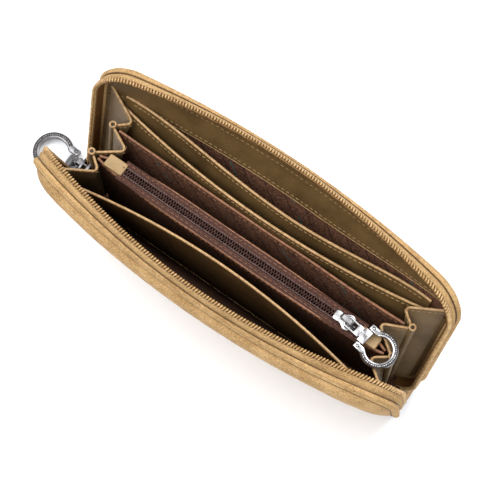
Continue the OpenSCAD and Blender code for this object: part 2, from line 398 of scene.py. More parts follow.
@dataclass(frozen=True)
class Ground:
    """Pale matt floor."""

    name: str = "pale_floor"
    tone: Colour = srgb(243, 245, 249)

    def make(self) -> bpy.types.Material:
        """Build the material."""
        g = Graph(self.name)
        return g.finish(Base_Color=self.tone, Roughness=0.9, Specular_IOR_Level=0.1)


class Finish(Enum):
    """Every finish of the wallet."""

    SUEDE = Suede()
    WALL_SUEDE = Suede("wall_suede", srgb(140, 108, 68), srgb(198, 164, 116))
    OLIVE = Leather()
    GUSSET = Leather("gusset_leather", srgb(92, 74, 48), srgb(136, 112, 78), 0.5)
    TAB = Leather("tab_leather", srgb(138, 112, 74), srgb(178, 148, 106), 0.42)
    CLOTH = Jacquard()
    TAN_TAPE = Webbing("tan_zip_tape", srgb(142, 110, 70), srgb(200, 168, 122))
    # Darker copy of the tan zip tape: painted shade inside the wall and between the coil's turns.
    WALL_TAPE = Webbing("wall_tape", srgb(76, 48, 20), srgb(134, 94, 48))
    BROWN_TAPE = Webbing("brown_zip_tape", srgb(54, 35, 30), srgb(92, 62, 52), 0.9)
    TAN_COIL = Satin("tan_zip_coil", srgb(148, 114, 70), srgb(206, 172, 122), 0.34)
    BROWN_COIL = Satin("brown_zip_coil", srgb(50, 33, 30), srgb(96, 70, 64), 0.28)
    EDGE = Satin("edge_paint", srgb(152, 118, 76), srgb(194, 158, 112), 0.42)
    FOLD = Satin("cloth_fold", srgb(110, 74, 52), srgb(158, 110, 80), 0.6)
    THREAD = Satin("tan_thread", srgb(146, 114, 72), srgb(186, 152, 106), 0.6, 0.8)
    SEAM = Satin("seam_shadow", srgb(72, 50, 26), srgb(104, 76, 42), 0.9)
    # Dark cap in a rolled loop's open top: painted shade.
    HOLLOW_SHADE = Satin("painted_hollow_shade", srgb(38, 26, 16), srgb(64, 46, 30), 0.8)
    BOARD = Satin("stiffener_board", srgb(150, 128, 98), srgb(176, 154, 120), 0.8)
    STEEL = Metal("polished_metal", srgb(146, 146, 148), srgb(202, 202, 204), 0.3, 0.006)
    ENGRAVED = Metal("engraved_recess", srgb(40, 39, 39), srgb(74, 72, 71), 0.5, 0.05)
    GUNMETAL = Metal("gunmetal", srgb(86, 84, 86), srgb(136, 134, 136), 0.34, 0.03)
    FLOOR = Ground()

    def material(self) -> bpy.types.Material:
        """The finish's material, made once."""
        found = bpy.data.materials.get(self.value.name + "_finish")
        return found or self.value.make()


# --------------------------------------------------------------------------- mesh building
def lerp(a: float, b: float, t: float) -> float:
    """Value at share t of the way from a to b."""
    return a + (b - a) * t


def spread(start: float, end: float, steps: int) -> list[float]:
    """steps + 1 even values from start to end."""
    return [lerp(start, end, i / steps) for i in range(steps + 1)]


def around(sides: int) -> list[float]:
    """Even angles once round, in radians."""
    return [2 * math.pi * k / sides for k in range(sides)]


def heading(line: Sequence[Vector], index: int) -> Vector:
    """Way along a line at one of its points, from the point before it to the point after."""
    return line[min(index + 1, len(line) - 1)] - line[max(index - 1, 0)]


def rounded(points: Sequence[Vector], radius: float, steps: int = 5) -> list[Vector]:
    """A polyline with its inner corners rounded.

    Args:
        points: the corners.
        radius: how far from a corner its rounding starts.
        steps: points of each rounding.

    Returns:
        The new line.
    """
    line = [points[0].copy()]
    for before, here, after in zip(points, points[1:], points[2:]):
        reach = min(radius, (before - here).length * 0.45, (after - here).length * 0.45)
        a = here + (before - here).normalized() * reach
        b = here + (after - here).normalized() * reach
        line += [a.lerp(here, t).lerp(here.lerp(b, t), t) for t in spread(0, 1, steps)]
    return line + [points[-1].copy()]


def resample(points: Sequence[Vector], step: float) -> list[tuple[Vector, Vector]]:
    """Evenly spaced places along a polyline.

    Args:
        points: the line.
        step: the spacing.

    Returns:
        A (place, direction) pair for each.
    """
    lengths = [0.0]
    for a, b in zip(points, points[1:]):
        lengths.append(lengths[-1] + (b - a).length)
    count = max(1, round(lengths[-1] / step))
    places, k = [], 0
    for target in spread(0, lengths[-1], count):
        while k < len(points) - 2 and lengths[k + 1] < target:
            k += 1
        span = max(lengths[k + 1] - lengths[k], 1e-9)
        a, b = points[k], points[k + 1]
        places.append((a.lerp(b, min(1, (target - lengths[k]) / span)), (b - a).normalized()))
    return places


@dataclass
class Solid:
    """Points and faces of one piece, in millimetres."""

    points: list[Vector] = field(default_factory=list)
    faces: list[tuple[int, ...]] = field(default_factory=list)

    def grid(self, rows: Rows, ring: bool = False, caps: bool = False) -> "Solid":
        """Add a skin over rows of points.

        Args:
            rows: rows of equal length.
            ring: whether each row is a closed ring.
            caps: whether the first and last rings are closed with a face.

        Returns:
            This solid.
        """
        first, width = len(self.points), len(rows[0])
        for row in rows:
            self.points += [p.copy() for p in row]
        for i in range(len(rows) - 1):
            for j in range(width if ring else width - 1):
                a, b = first + i * width, (j + 1) % width
                self.faces.append((a + j, a + b, a + width + b, a + width + j))
        if caps:
            last = first + (len(rows) - 1) * width
            self.faces.append(tuple(range(first + width - 1, first - 1, -1)))
            self.faces.append(tuple(range(last, last + width)))
        return self

    def slab(self, outer: Rows, inner: Rows) -> "Solid":
        """Add a closed slab between two skins of the same layout."""
        ring_rows = [a + list(reversed(b)) for a, b in zip(outer, inner)]
        return self.grid(ring_rows, ring=True)._close(outer, inner)

    def _close(self, outer: Rows, inner: Rows) -> "Solid":
        """Close a slab's first and last rows."""
        width = len(outer[0])
        base = len(self.points) - 2 * width * len(outer)
        for i, turn in ((0, True), (len(outer) - 1, False)):
            start = base + i * 2 * width
            for j in range(width - 1):
                far = 2 * width - 1 - j
                face = (start + j, start + j + 1, start + far - 1, start + far)
                self.faces.append(tuple(reversed(face)) if turn else face)
        return self

    def tube(self, line: Sequence[Vector], radius: float | Callable[[float], float],
             sides: int = 8) -> "Solid":
        """Add a round tube with closed ends along a line."""
        side = None
        rings: Rows = []
        for i, here in enumerate(line):
            way = heading(line, i).normalized()
            if side is None:
                side = way.orthogonal().normalized()
            side = (side - way * side.dot(way)).normalized()
            other = way.cross(side)
            r = radius(i / (len(line) - 1)) if callable(radius) else radius
            rings.append([here + (side * math.cos(a) + other * math.sin(a)) * r
                          for a in around(sides)])
        return self.grid(rings, ring=True, caps=True)

    def strap(self, line: Sequence[Vector], across: Vector, half_wide: float,
              half_thick: float) -> "Solid":
        """Add a flat bar with softened edges along a line; across is the way of its width."""
        upper = [(1, 0.5), (0.85, 1), (-0.85, 1), (-1, 0.5)]
        section = upper + [(-x, -y) for x, y in upper]
        rows: Rows = []
        for i, here in enumerate(line):
            way = heading(line, i).normalized()
            up = across.cross(way).normalized()
            rows.append([here + across * (half_wide * x) + up * (half_thick * y) for x, y in section])
        return self.grid(rows, ring=True, caps=True)

    def bead(self, centre: Vector, axes: Sequence[Vector], power: float = 1.0,
             sides: int = 8, rings: int = 4) -> "Solid":
        """Add a rounded bead.

        Args:
            centre: its middle.
            axes: three half-axes; the first is its long way.
            power: 1 is an ellipsoid, less is boxier.
            sides: points round it.
            rings: rings along it.

        Returns:
            This solid.
        """
        rows: Rows = []
        for i in range(rings + 1):
            t = math.pi * (0.08 + 0.84 * i / rings)
            along, girth = -math.cos(t), abs(math.sin(t)) ** power
            rows.append([centre + axes[0] * along + (
                axes[1] * math.cos(a) + axes[2] * math.sin(a)) * girth for a in around(sides)])
        return self.grid(rows, ring=True, caps=True)

    def stitches(self, line: Sequence[Vector], length: float, gap: float, radius: float) -> "Solid":
        """Add a row of stitches along a line."""
        for place, way in resample(line, length + gap)[:-1]:
            side = way.orthogonal().normalized()
            other = way.cross(side)
            self.bead(place + way * (length + gap) / 2,
                      (way * length / 2, side * radius, other * radius), 0.6, 6, 3)
        return self

    def prism(self, outline: Sequence[Point2], low: float, high: float,
              bevel: float = 0.0) -> "Solid":
        """Add an upright prism with bevelled edges over a convex outline in X and Y."""
        cx = sum(p[0] for p in outline) / len(outline)
        cy = sum(p[1] for p in outline) / len(outline)

        def ring(z: float, inset: float) -> list[Vector]:
            """The outline drawn in by inset at one height."""
            made = []
            for x, y in outline:
                reach = math.hypot(x - cx, y - cy)
                k = (reach - inset) / reach if reach else 0
                made.append(Vector((cx + (x - cx) * k, cy + (y - cy) * k, z)))
            return made
        rows = [ring(low, bevel), ring(low + bevel, 0), ring(high - bevel, 0), ring(high, bevel)]
        return self.grid(rows if bevel else [ring(low, 0), ring(high, 0)], ring=True, caps=True)

    def moved(self, matrix: Matrix) -> "Solid":
        """Move every point by a matrix."""
        self.points = [matrix @ p for p in self.points]
        return self

    def build(self, name: str, finish: Finish, bevel: float = 0.0, smooth: float = 40.0,
              rounds: int = 0) -> bpy.types.Object:
        """Make the Blender object.

        Args:
            name: the piece's name.
            finish: its finish.
            bevel: width of a bevel on its sharp edges, in millimetres.
            smooth: edges under this angle, in degrees, are shaded smooth.
            rounds: levels of subdivision.

        Returns:
            The object.
        """
        mesh = bpy.data.meshes.new(name)
        mesh.from_pydata([p * MM for p in self.points], [], self.faces)
        made = bpy.data.objects.new(name, mesh)
        bpy.context.scene.collection.objects.link(made)
        made.data.materials.append(finish.material())
        self._tidy(made, bevel, rounds)
        made.data.shade_smooth()
        made.data.set_sharp_from_angle(angle=math.radians(smooth))
        LOG.info("built %s: %d faces", name, len(made.data.polygons))
        return made

    @staticmethod
    def _tidy(made: bpy.types.Object, bevel: float, rounds: int) -> None:
        """Turn the faces outwards and apply the bevel and the subdivision."""
        work = bmesh.new()
        work.from_mesh(made.data)
        bmesh.ops.recalc_face_normals(work, faces=work.faces)
        work.to_mesh(made.data)
        work.free()
        if bevel:
            mod = made.modifiers.new("edge", "BEVEL")
            mod.width = bevel * MM
            mod.segments = 2
            mod.angle_limit = math.radians(35)
        if rounds:
            mod = made.modifiers.new("round", "SUBSURF")
            mod.levels = mod.render_levels = rounds
        if bevel or rounds:
            depsgraph = bpy.context.evaluated_depsgraph_get()
            final = bpy.data.meshes.new_from_object(made.evaluated_get(depsgraph))
            made.modifiers.clear()
            made.data = final


class Workshop:
    """Puts finished pieces on their bodies."""

    @staticmethod
    def fit(piece: bpy.types.Object, body: str, slot: str, *nodes: str) -> bpy.types.Object:
        """Let a piece ride on a body.

        Args:
            piece: the piece.
            body: the body's name.
            slot: the record's material slot; not used.
            nodes: the CAD nodes that it stands for.

        Returns:
            The piece.
        """
        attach(piece, body)
        return Workshop._name(piece, slot, nodes)

    @staticmethod
    def join(piece: bpy.types.Object, bodies: tuple[str, str], start: Vector, end: Vector,
             slot: str, *nodes: str) -> bpy.types.Object:
        """Bake a piece's place into its mesh and hide the CAD nodes that it stands for; start and end are in
        millimetres.
        """
        start * MM
        end * MM
        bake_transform(piece)
        return Workshop._name(piece, slot, nodes)

    @staticmethod
    def cloth(piece: bpy.types.Object, rows: Rows, held: str, rests_on: str) -> None:
        """Log the flat size that a sheet's rows give.

        Args:
            piece: the sheet.
            rows: one of its two faces.
            held: how it is held; not used.
            rests_on: the node that it lies on or hangs from; not used.
        """
        def length(line: Sequence[Vector]) -> float:
            """Length of a line in metres."""
            return sum((b - a).length for a, b in zip(line, line[1:])) * MM
        columns = [[row[j] for row in rows] for j in range(len(rows[0]))]
        flat = max(map(length, rows)), max(map(length, columns))
        area = min(flat[0] * flat[1], sum(face.area for face in piece.data.polygons) / 2)
        LOG.info("cloth %s: flat %.1f x %.1f mm", piece.name, flat[0] / MM, flat[1] / MM)

    @staticmethod
    def _name(piece: bpy.types.Object, slot: str, nodes: tuple[str, ...]) -> bpy.types.Object:
        """Hide the CAD nodes that a piece replaces."""
        if nodes:
            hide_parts(*nodes)
        return piece


# --------------------------------------------------------------------------- the covers
class Side(Enum):
    """Which cover."""

    FRONT = -1
    REAR = 1


LENGTH = (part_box("front_cover_panel")[1].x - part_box("front_cover_panel")[0].x) / MM
HINGE_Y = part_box("spine_panel")[1].y / MM
COVER_H = 94.0
CORNER = 18.0
FLARE = 52.0
SKIN_D = 1.6
FOOT_R = 13.0
STILL = 1e-6
FACING_INSET = 3.4
FRONT_LEAN, REAR_LEAN = 10.5, 12.5

# Spans of the rim's layers, as distances in from the outline and from the outer face.
LIP_DEPTH = (0.75, 4.15)
WALL_INSET, WALL_DEPTH = (1.0, 2.7), (4.2, 8.35)
BACK_INSET, BACK_DEPTH = (2.75, 3.2), (3.2, 9.5)
TAPE_INSET, TAPE_DEPTH = (1.7, 2.6), (8.1, 9.6)
COIL_INSET, COIL_DEPTH = 1.75, 9.25
COIL_SLANT = 0.4

# Stitch length, gap between stitches and thread radius of each kind of seam.
WALL_SEAM = (1.7, 0.9, 0.13)
FACING_SEAM = (1.7, 0.9, 0.14)
POCKET_SEAM = (1.8, 0.7, 0.16)
HEM_SEAM = (1.9, 0.9, 0.17)
POUCH_SEAM = (1.8, 0.9, 0.17)
TAB_SEAM = (1.2, 0.7, 0.13)
GUSSET_SEAM = (1.8, 0.8, 0.15)


@dataclass(frozen=True)
class CoverShape:
    """The curved surface of one cover, and the lines that run over it."""

    side: Side
    lean: float
    bow: float

    def point(self, u: float, v: float, d: float) -> Vector:
        """A place on the cover.

        Args:
            u: along the spine.
            v: up from the hinge line.
            d: in from the outer face.

        Returns:
            The point in the row frame.
        """
        full = max(0.0, 1 - (2 * u / LENGTH) ** 2)
        flare = math.radians(FLARE) * full * min(1.0, max(0.0, 2 * v / COVER_H - 1))
        inner = max(0.0, d - SKIN_D)
        rise = v + inner * math.sin(flare)
        depth = min(d, SKIN_D) + inner * math.cos(flare)
        a = math.radians(self.lean)
        y = HINGE_Y + rise * math.sin(a) - depth * math.cos(a)
        y += self.bow * full * (max(v, 0.0) / COVER_H) ** 1.3
        return Vector((u, self.side.value * y, rise * math.cos(a) + depth * math.sin(a)))

    @staticmethod
    def half_width(v: float, inset: float) -> float:
        """Half the cover's width at height v, inset from its outline."""
        r, over = CORNER - inset, max(0.0, v - (COVER_H - CORNER))
        top = LENGTH / 2 - CORNER + math.sqrt(max(0.0, r * r - over * over))
        r, under = FOOT_R - inset, max(0.0, FOOT_R - v)
        foot = LENGTH / 2 - FOOT_R + math.sqrt(max(0.0, r * r - under * under))
        return min(top, foot) if under else top

    @staticmethod
    def heights(low: float, high: float, inset: float, step: float = 4.0) -> list[float]:
        """Heights of a skin's rows from low to high, closer round the top corners."""
        shoulder, r = COVER_H - CORNER, CORNER - inset
        rows = spread(low, FOOT_R, 5)[:-1] if low < FOOT_R else []
        if low < shoulder:
            start = max(low, FOOT_R)
            rows += spread(start, min(high, shoulder), max(2, round((shoulder - start) / step)))
        if high > shoulder:
            a0 = 0.0 if rows else math.asin((low - shoulder) / r)
            a1 = math.asin(min(1.0, (high - shoulder) / r))
            rows += [shoulder + r * math.sin(a) for a in spread(a0, a1, 9)][1 if rows else 0:]
        return rows

    def skin(self, low: float, high: float, inset: float, d: float, columns: int = 64) -> Rows:
        """Rows of points over the cover at one depth.

        Args:
            low, high: heights where the skin starts and ends.
            inset: distance in from the outline.
            d: depth in from the outer face.
            columns: steps along the spine.

        Returns:
            The rows.
        """
        rows = []
        for v in self.heights(low, high, inset):
            half = self.half_width(v, inset)
            rows.append([self.point(half * t, v, d) for t in spread(-1, 1, columns)])
        return rows

    @staticmethod
    def outline(low: float, inset: float, step: float) -> list[Point2]:
        """Even (u, v) places up the left end, along the top and down the right end."""
        r, cx, cy = CORNER - inset, LENGTH / 2 - CORNER, COVER_H - CORNER
        left = [Vector((-cx - r, low, 0))]
        if low < FOOT_R:
            foot = FOOT_R - inset
            left = [Vector((-LENGTH / 2 + FOOT_R - foot * math.sin(a), FOOT_R - foot * math.cos(a), 0))
                    for a in spread(math.acos(min(1.0, (FOOT_R - low) / foot)), math.pi / 2, 8)]
        left += [Vector((-cx - r * math.cos(a), cy + r * math.sin(a), 0))
                 for a in spread(0, math.pi / 2, 14)]
        whole = left + [Vector((-p.x, p.y, 0)) for p in reversed(left)]
        return [(p.x, p.y) for p, _ in resample(whole, step)]

    def rim_line(self, low: float, inset: float, d: float, step: float = 2.0) -> list[Vector]:
        """A line that follows the rim at one inset and depth."""
        return [self.point(u, v, d) for u, v in self.outline(low, inset, step)]

    def rim_sweep(self, low: float, section: Sequence[Point2], step: float = 2.0,
                  ripple: float = 0.0) -> Solid:
        """A solid that follows the rim.

        Args:
            low: height where it starts and ends.
            section: its closed section as (inset, depth) points.
            step: spacing of its rings.
            ripple: size of its soft unevenness.

        Returns:
            The solid.
        """
        lines = [self.rim_line(low, inset, d, step) for inset, d in section]
        count = min(map(len, lines))
        rings = []
        for i in range(count):
            ring = [line[round(i * (len(line) - 1) / (count - 1))] for line in lines]
            if ripple:
                middle = sum(ring, Vector()) / len(ring)
                swell = (1 + ripple * noise.noise(middle * 0.13)
                         + ripple * 0.5 * noise.noise(middle * 0.45))
                ring = [middle + (p - middle) * swell for p in ring]
            rings.append(ring)
        return Solid().grid(rings, ring=True, caps=True)


def section_box(inset: Point2, depth: Point2, corner: float, crown: float = 0.0) -> list[Point2]:
    """A rounded rectangular section.

    Args:
        inset, depth: its two spans.
        corner: radius of its corners.
        crown: how far its outward face bulges.

    Returns:
        The closed section.
    """
    made = []
    (i0, i1), (d0, d1) = inset, depth
    for ci, cd, start in ((i0 + corner, d0 + corner, 180), (i1 - corner, d0 + corner, 270),
                          (i1 - corner, d1 - corner, 0), (i0 + corner, d1 - corner, 90)):
        for a in spread(start, start + 90, 3):
            made.append((ci + corner * math.cos(math.radians(a)),
                         cd + corner * math.sin(math.radians(a))))
        if start == 90 and crown:
            made += [(i0 - crown * math.sin(math.pi * t), lerp(d1 - corner, d0 + corner, t))
                     for t in (0.2, 0.4, 0.6, 0.8)]
    return made


@dataclass(frozen=True)
class Padding:
    """Wadding under a suede face, settled as cloth under pressure and held at its seams."""

    crown: float
    height: float = 2.4
    pressure: float = 4.0
    frames: int = 20

    @staticmethod
    def _dome(up: float, across: float) -> float:
        """Share of the crown's height, from -1 to 1 up and across the face."""
        return (1 - abs(up) ** 4) * (1 - abs(across) ** 18)

    def swell(self, rows: Rows, side: int) -> Rows:
        """Rows of a face pushed out by its wadding.

        Args:
            rows: the flat face's rows.
            side: which way along Y is outwards.

        Returns:
            The swollen rows.
        """
        last_row, last = max(1, len(rows) - 1), len(rows[0]) - 1
        rows = [[p + Vector((0, side * self.crown * self._dome(2 * i / last_row - 1, 2 * j / last - 1), 0))
                 for j, p in enumerate(row)] for i, row in enumerate(rows)]
        flat = Solid().grid(rows).build("wadding_trial", Finish.SUEDE)
        self._inflate(flat, len(rows), len(rows[0]), side)
        settled = flat.evaluated_get(bpy.context.evaluated_depsgraph_get()).data
        places = iter([v.co / MM for v in settled.vertices])
        swollen = [[self._limited(p, next(places)) for p in row] for row in rows]
        rise = max((a - b).length for new, old in zip(swollen, rows) for a, b in zip(new, old))
        LOG.info("wadding rose by up to %.2f mm", rise)
        bpy.data.objects.remove(flat)
        bpy.context.scene.frame_set(1)
        return swollen

    def _inflate(self, flat: bpy.types.Object, count: int, width: int, side: int) -> None:
        """Run a trial face as cloth under pressure, held along its outline.

        Args:
            flat: the trial face.
            count: its number of rows.
            width: points in a row.
            side: which way along Y is outwards.
        """
        seam = [k for k in range(len(flat.data.vertices))
                if k % width in (0, width - 1) or k // width in (0, count - 1)]
        flat.vertex_groups.new(name="seam").add(seam, 1.0, "REPLACE")
        settings = flat.modifiers.new("wadding", "CLOTH").settings
        settings.vertex_group_mass = "seam"
        settings.use_pressure = True
        outwards = sum((p.normal.y for p in flat.data.polygons)) * side
        settings.uniform_pressure_force = math.copysign(self.pressure, outwards)
        settings.effector_weights.gravity = 0.0
        settings.tension_stiffness = settings.compression_stiffness = 8.0
        settings.quality = 4
        for step in range(1, self.frames + 1):
            bpy.context.scene.frame_set(step)

    def _limited(self, start: Vector, end: Vector) -> Vector:
        """The place on the way from start to end that the wadding's height allows."""
        shift = end - start
        size = shift.length
        return start + shift * (self.height * math.tanh(size / self.height) / size if size > STILL else 1.0)


@dataclass
class Cover:
    """One cover: panel, rim, zip half, facing, lining and slip pockets."""

    shape: CoverShape
    body: str
    prefix: str
    pad: float
    pockets: tuple["Pocket", ...]
    tooth_pitch: float = 1.4
    lip: float = 5.0
    face_inset: float = 2.6
    zip_foot: float = 3.4
    lip_foot: float = 0.6
    seam_foot: float = 1.2
    facing_foot: float = 72.2

    def make(self) -> None:
        """Build every piece of the cover."""
        self._panel()
        self._layers()
        self._rim()
        self._zip()
        self._facing()
        for pocket in self.pockets:
            pocket.make(self)

    def node(self, name: str) -> str:
        """A CAD node's name on this cover."""
        return f"{self.prefix}_{name}"

    def _fit(self, solid: Solid, label: str, finish: Finish, slot: str, *nodes: str,
             smooth: float = 40.0) -> bpy.types.Object:
        """Build one piece and let it ride on the cover's body.

        Args:
            solid: its shape.
            label: its name, without the cover's prefix.
            finish: its finish.
            slot: the record's material slot; not used.
            nodes: the CAD nodes that it stands for, without the cover's prefix.
            smooth: edges under this angle, in degrees, are shaded smooth.

        Returns:
            The piece.
        """
        piece = solid.build(self.node(label), finish, smooth=smooth)
        return Workshop.fit(piece, self.body, slot, *map(self.node, nodes))

    def _panel(self) -> None:
        """The padded suede face, which wraps under the spine's edge."""
        shape, inset, columns = self.shape, self.face_inset, 80
        side = shape.side.value
        outer = Padding(self.pad).swell(shape.skin(4.0, COVER_H - inset, inset, 0.9, columns), side)
        inner = shape.skin(4.0, COVER_H - inset, inset, SKIN_D, columns)
        half = shape.half_width(4.0, inset)
        under = [(0.0, 0.0), (HINGE_Y - 3.2, 0.0), (HINGE_Y - 1.8, 0.35), (HINGE_Y - 0.9, 1.1),
                 (HINGE_Y - 0.35, 2.3)]
        for k, ((y, z), cut) in enumerate(zip(under, (9.0, 7.0, 5.0, 3.2, 1.4))):
            reach = half - cut
            outer.insert(k, [Vector((reach * t, side * y, z)) for t in spread(-1, 1, columns)])
            inner.insert(k, [Vector((reach * t, side * min(y, HINGE_Y - 2.0), max(z, 1.5)))
                             for t in spread(-1, 1, columns)])
        piece = Solid().slab(outer, inner).build(self.node("suede_face"), Finish.SUEDE)
        Workshop.join(piece, ("core", self.body), Vector((0, side * HINGE_Y, 0.6)),
                      Vector((0, side * HINGE_Y, 7.0)), "tan_suede", self.node("cover_panel"))

    def _layers(self) -> None:
        """Stiffener board and jacquard lining."""
        for name, finish, slot, inset, d0, d1 in (
                ("stiffener", Finish.BOARD, "board", 3.5, 1.8, 2.4),
                ("lining", Finish.CLOTH, "brown_jacquard", 3.8, 2.6, 3.1)):
            outer, inner = (self.shape.skin(2.6, COVER_H - inset, inset, d) for d in (d0, d1))
            piece = self._fit(Solid().slab(outer, inner), name + "_sheet", finish, slot, name)
            if finish is Finish.CLOTH:
                Workshop.cloth(piece, outer, "laid", self.node("stiffener"))

    def _rim(self) -> None:
        """Padded lip, side wall with its inner tape in painted shade, and the seams between them."""
        shape, foot = self.shape, self.zip_foot
        lip = shape.rim_sweep(self.lip_foot, section_box((-0.3, self.lip), LIP_DEPTH, 1.5, 0.25),
                              ripple=0.04)
        self._fit(lip, "padded_lip", Finish.SUEDE, "tan_suede", "rim_piping")
        wall = shape.rim_sweep(foot, section_box(WALL_INSET, WALL_DEPTH, 0.7, 0.55), ripple=0.03)
        self._fit(wall, "suede_wall", Finish.WALL_SUEDE, "tan_suede", "side_wall")
        # The tape inside the wall is the tan tape darkened: painted shade.
        back = shape.rim_sweep(foot, section_box(BACK_INSET, BACK_DEPTH, 0.2))
        self._fit(back, "wall_tape", Finish.WALL_TAPE, "tan_zip_tape")
        for label, low, inset, d in (("lip_seam", foot, 0.85, 4.2), ("tape_seam", foot, 1.15, 8.3),
                                     ("face_seam", self.seam_foot, self.face_inset - 0.2, 0.8)):
            seam = Solid().tube(shape.rim_line(low, inset, d), 0.32, 6)
            self._fit(seam, label, Finish.SEAM, "tan_suede")
        thread = Solid().stitches(shape.rim_line(9.0, 0.42, 7.6, 1.2), *WALL_SEAM)
        self._fit(thread, "wall_stitching", Finish.THREAD, "tan_suede")

    def _zip(self) -> None:
        """Zip tape, coil core and coil turns; the core and cord are darkened as painted shade between the
        turns.
        """
        shape, inset, depth = self.shape, COIL_INSET, COIL_DEPTH
        tape = shape.rim_sweep(self.zip_foot, section_box(TAPE_INSET, TAPE_DEPTH, 0.3))
        self._fit(tape, "woven_tape", Finish.TAN_TAPE, "tan_zip_tape", "zip_tape")
        coil = Solid()
        places = shape.outline(self.zip_foot, inset, self.tooth_pitch)
        for (u0, v0), (u1, v1) in zip(places, places[1:]):
            u, v = (u0 + u1) / 2, (v0 + v1) / 2
            along = (shape.point(u1, v1, depth) - shape.point(u0, v0, depth)).normalized()
            deep = (shape.point(u, v, depth + 0.5) - shape.point(u, v, depth - 0.5)).normalized()
            out = deep.cross(along).normalized() * shape.side.value
            slant = (deep + along * COIL_SLANT).normalized()
            coil.bead(shape.point(u, v, depth) + out * 0.5,
                      (slant * 1.35, along * 0.46, out * 0.85), 0.6, 8, 5)
        self._fit(coil, "coil_turns", Finish.TAN_COIL, "tan_zip_coil", "zip_coil", smooth=60)
        # Core and cord in the darkened tape: painted shade in the gaps between the coil's turns.
        for label, d, radius in (("coil_core", depth, 0.5), ("coil_cord", depth - 0.95, 0.42)):
            core = Solid().tube(shape.rim_line(self.zip_foot, inset - 0.2, d, 1.6), radius, 8)
            self._fit(core, label, Finish.WALL_TAPE, "tan_zip_coil")

    def _facing_low(self, u: float) -> float:
        """Height of the facing's lower edge at one place along the spine."""
        rise = min(1.0, max(0.0, (u - 20) / 62))
        return self.facing_foot + 8.4 * rise ** 1.6

    def _strip_place(self, t: float, share: float) -> Point2:
        """A place on the facing under the zip: t along from -1 to 1, share up from 0 to 1."""
        u = t * (LENGTH / 2 - FACING_INSET)
        top, over = COVER_H - FACING_INSET, abs(u) - (LENGTH / 2 - CORNER)
        if over > 0:
            radius = CORNER - FACING_INSET
            top -= radius - math.sqrt(max(0.0, radius ** 2 - over ** 2))
        return u, lerp(min(self._facing_low(u), top - 0.5), top, share)

    def _end_place(self, side: int, t: float, share: float) -> Point2:
        """A place on the facing down one end: t outwards and share up, from 0 to 1."""
        v = lerp(3.0, self.facing_foot - 0.6, share)
        return side * lerp(73.0, self.shape.half_width(v, FACING_INSET), t), v

    def _facing(self) -> None:
        """Leather facing under the zip and down both ends, with painted edge and stitching."""
        shape, slot = self.shape, "olive_leather"
        across = spread(0, 1, 10)
        for label, along, place, nodes in (
                ("facing", spread(-1, 1, 64), self._strip_place, ("facing",)),
                ("left_end", across, partial(self._end_place, -1), ()),
                ("right_end", across, partial(self._end_place, 1), ())):
            outer, inner = ([[shape.point(*place(t, share), d) for t in along]
                             for share in spread(0, 1, 16)] for d in (3.15, 3.85))
            piece = self._fit(Solid().slab(outer, inner), f"leather_{label}", Finish.OLIVE, slot, *nodes)
            Workshop.cloth(piece, outer, "laid", self.node("lining"))
        reach = [86.0 * t for t in spread(-1, 1, 80)]
        edge = Solid().tube([shape.point(u, self._facing_low(u), 3.5) for u in reach], 0.42, 8)
        self._fit(edge, "facing_edge", Finish.EDGE, slot)
        thread = Solid()
        for line in ([shape.point(u, v, 3.95) for u, v in shape.outline(66.0, 7.2, 1.4)],
                     [shape.point(u, self._facing_low(u) + 1.8, 3.95) for u in reach]):
            thread.stitches(line, *FACING_SEAM)
        self._fit(thread, "facing_stitching", Finish.THREAD, slot)


@dataclass
class Pocket:
    """A slip pocket that is sewn down at its foot and hangs off the lining at its mouth."""

    name: str
    node: str
    top: float
    hang: float
    foot_d: float
    half: float = 82.5
    foot: float = 6.0
    thick: float = 1.0
    skew: float = 0.0
    power: float = 1.0

    def point(self, shape: CoverShape, u: float, v: float, extra: float) -> Vector:
        """A place on the pocket: u along, v up, extra in from its back."""
        reach = self.half + (self.skew if u < self.skew else -self.skew)
        fold = max(0.0, 1 - ((u - self.skew) / reach) ** 2) ** self.power
        d = self.foot_d + extra + self.hang * fold * (max(v, 0) / self.top) ** 1.6
        base = shape.point(u, v, 0)
        a = math.radians(shape.lean)
        return Vector((u, base.y - shape.side.value * d * math.cos(a), base.z + d * math.sin(a)))

    def make(self, cover: Cover) -> None:
        """Build the pocket's leather, painted edge and stitching."""
        shape = cover.shape
        heights = spread(self.foot, self.top, 18)

        def sheet(extra: float) -> Rows:
            """One face of the leather."""
            return [[self.point(shape, self.half * t, v, extra) for t in spread(-1, 1, 60)]
                    for v in heights]
        panel = Solid().slab(sheet(0), sheet(self.thick)).build(self.name + "_leather", Finish.OLIVE)
        line = [self.point(shape, self.half * t, self.top + 0.1, self.thick / 2) for t in spread(-1, 1, 80)]
        edge = Solid().tube(line, 0.62, 10).build(self.name + "_painted_edge", Finish.EDGE)
        seam = [self.point(shape, (self.half - 4) * t, self.top - 2.3, self.thick + 0.06)
                for t in spread(-1, 1, 80)]
        thread = Solid().stitches(seam, *POCKET_SEAM).build(self.name + "_stitching", Finish.THREAD)
        for piece, nodes in ((panel, (self.node,)), (edge, ()), (thread, ())):
            self._hang(piece, cover, nodes)
        Workshop.cloth(panel, sheet(0), "hung", cover.node("lining"))

    def _hang(self, piece: bpy.types.Object, cover: Cover, nodes: tuple[str, ...]) -> None:
        """Bake a piece where it is built and hide the CAD nodes that it stands for."""
        side = cover.shape.side.value
        back = self.point(cover.shape, self.half, self.top, 0)
        front = self.point(cover.shape, 0, self.top, self.thick)
        start, end = Vector((0, back.y + side * 1.0, back.z)), Vector((0, front.y - side * 7.0, back.z))
        Workshop.join(piece, (cover.body, "core"), start, end, "olive_leather", *nodes)


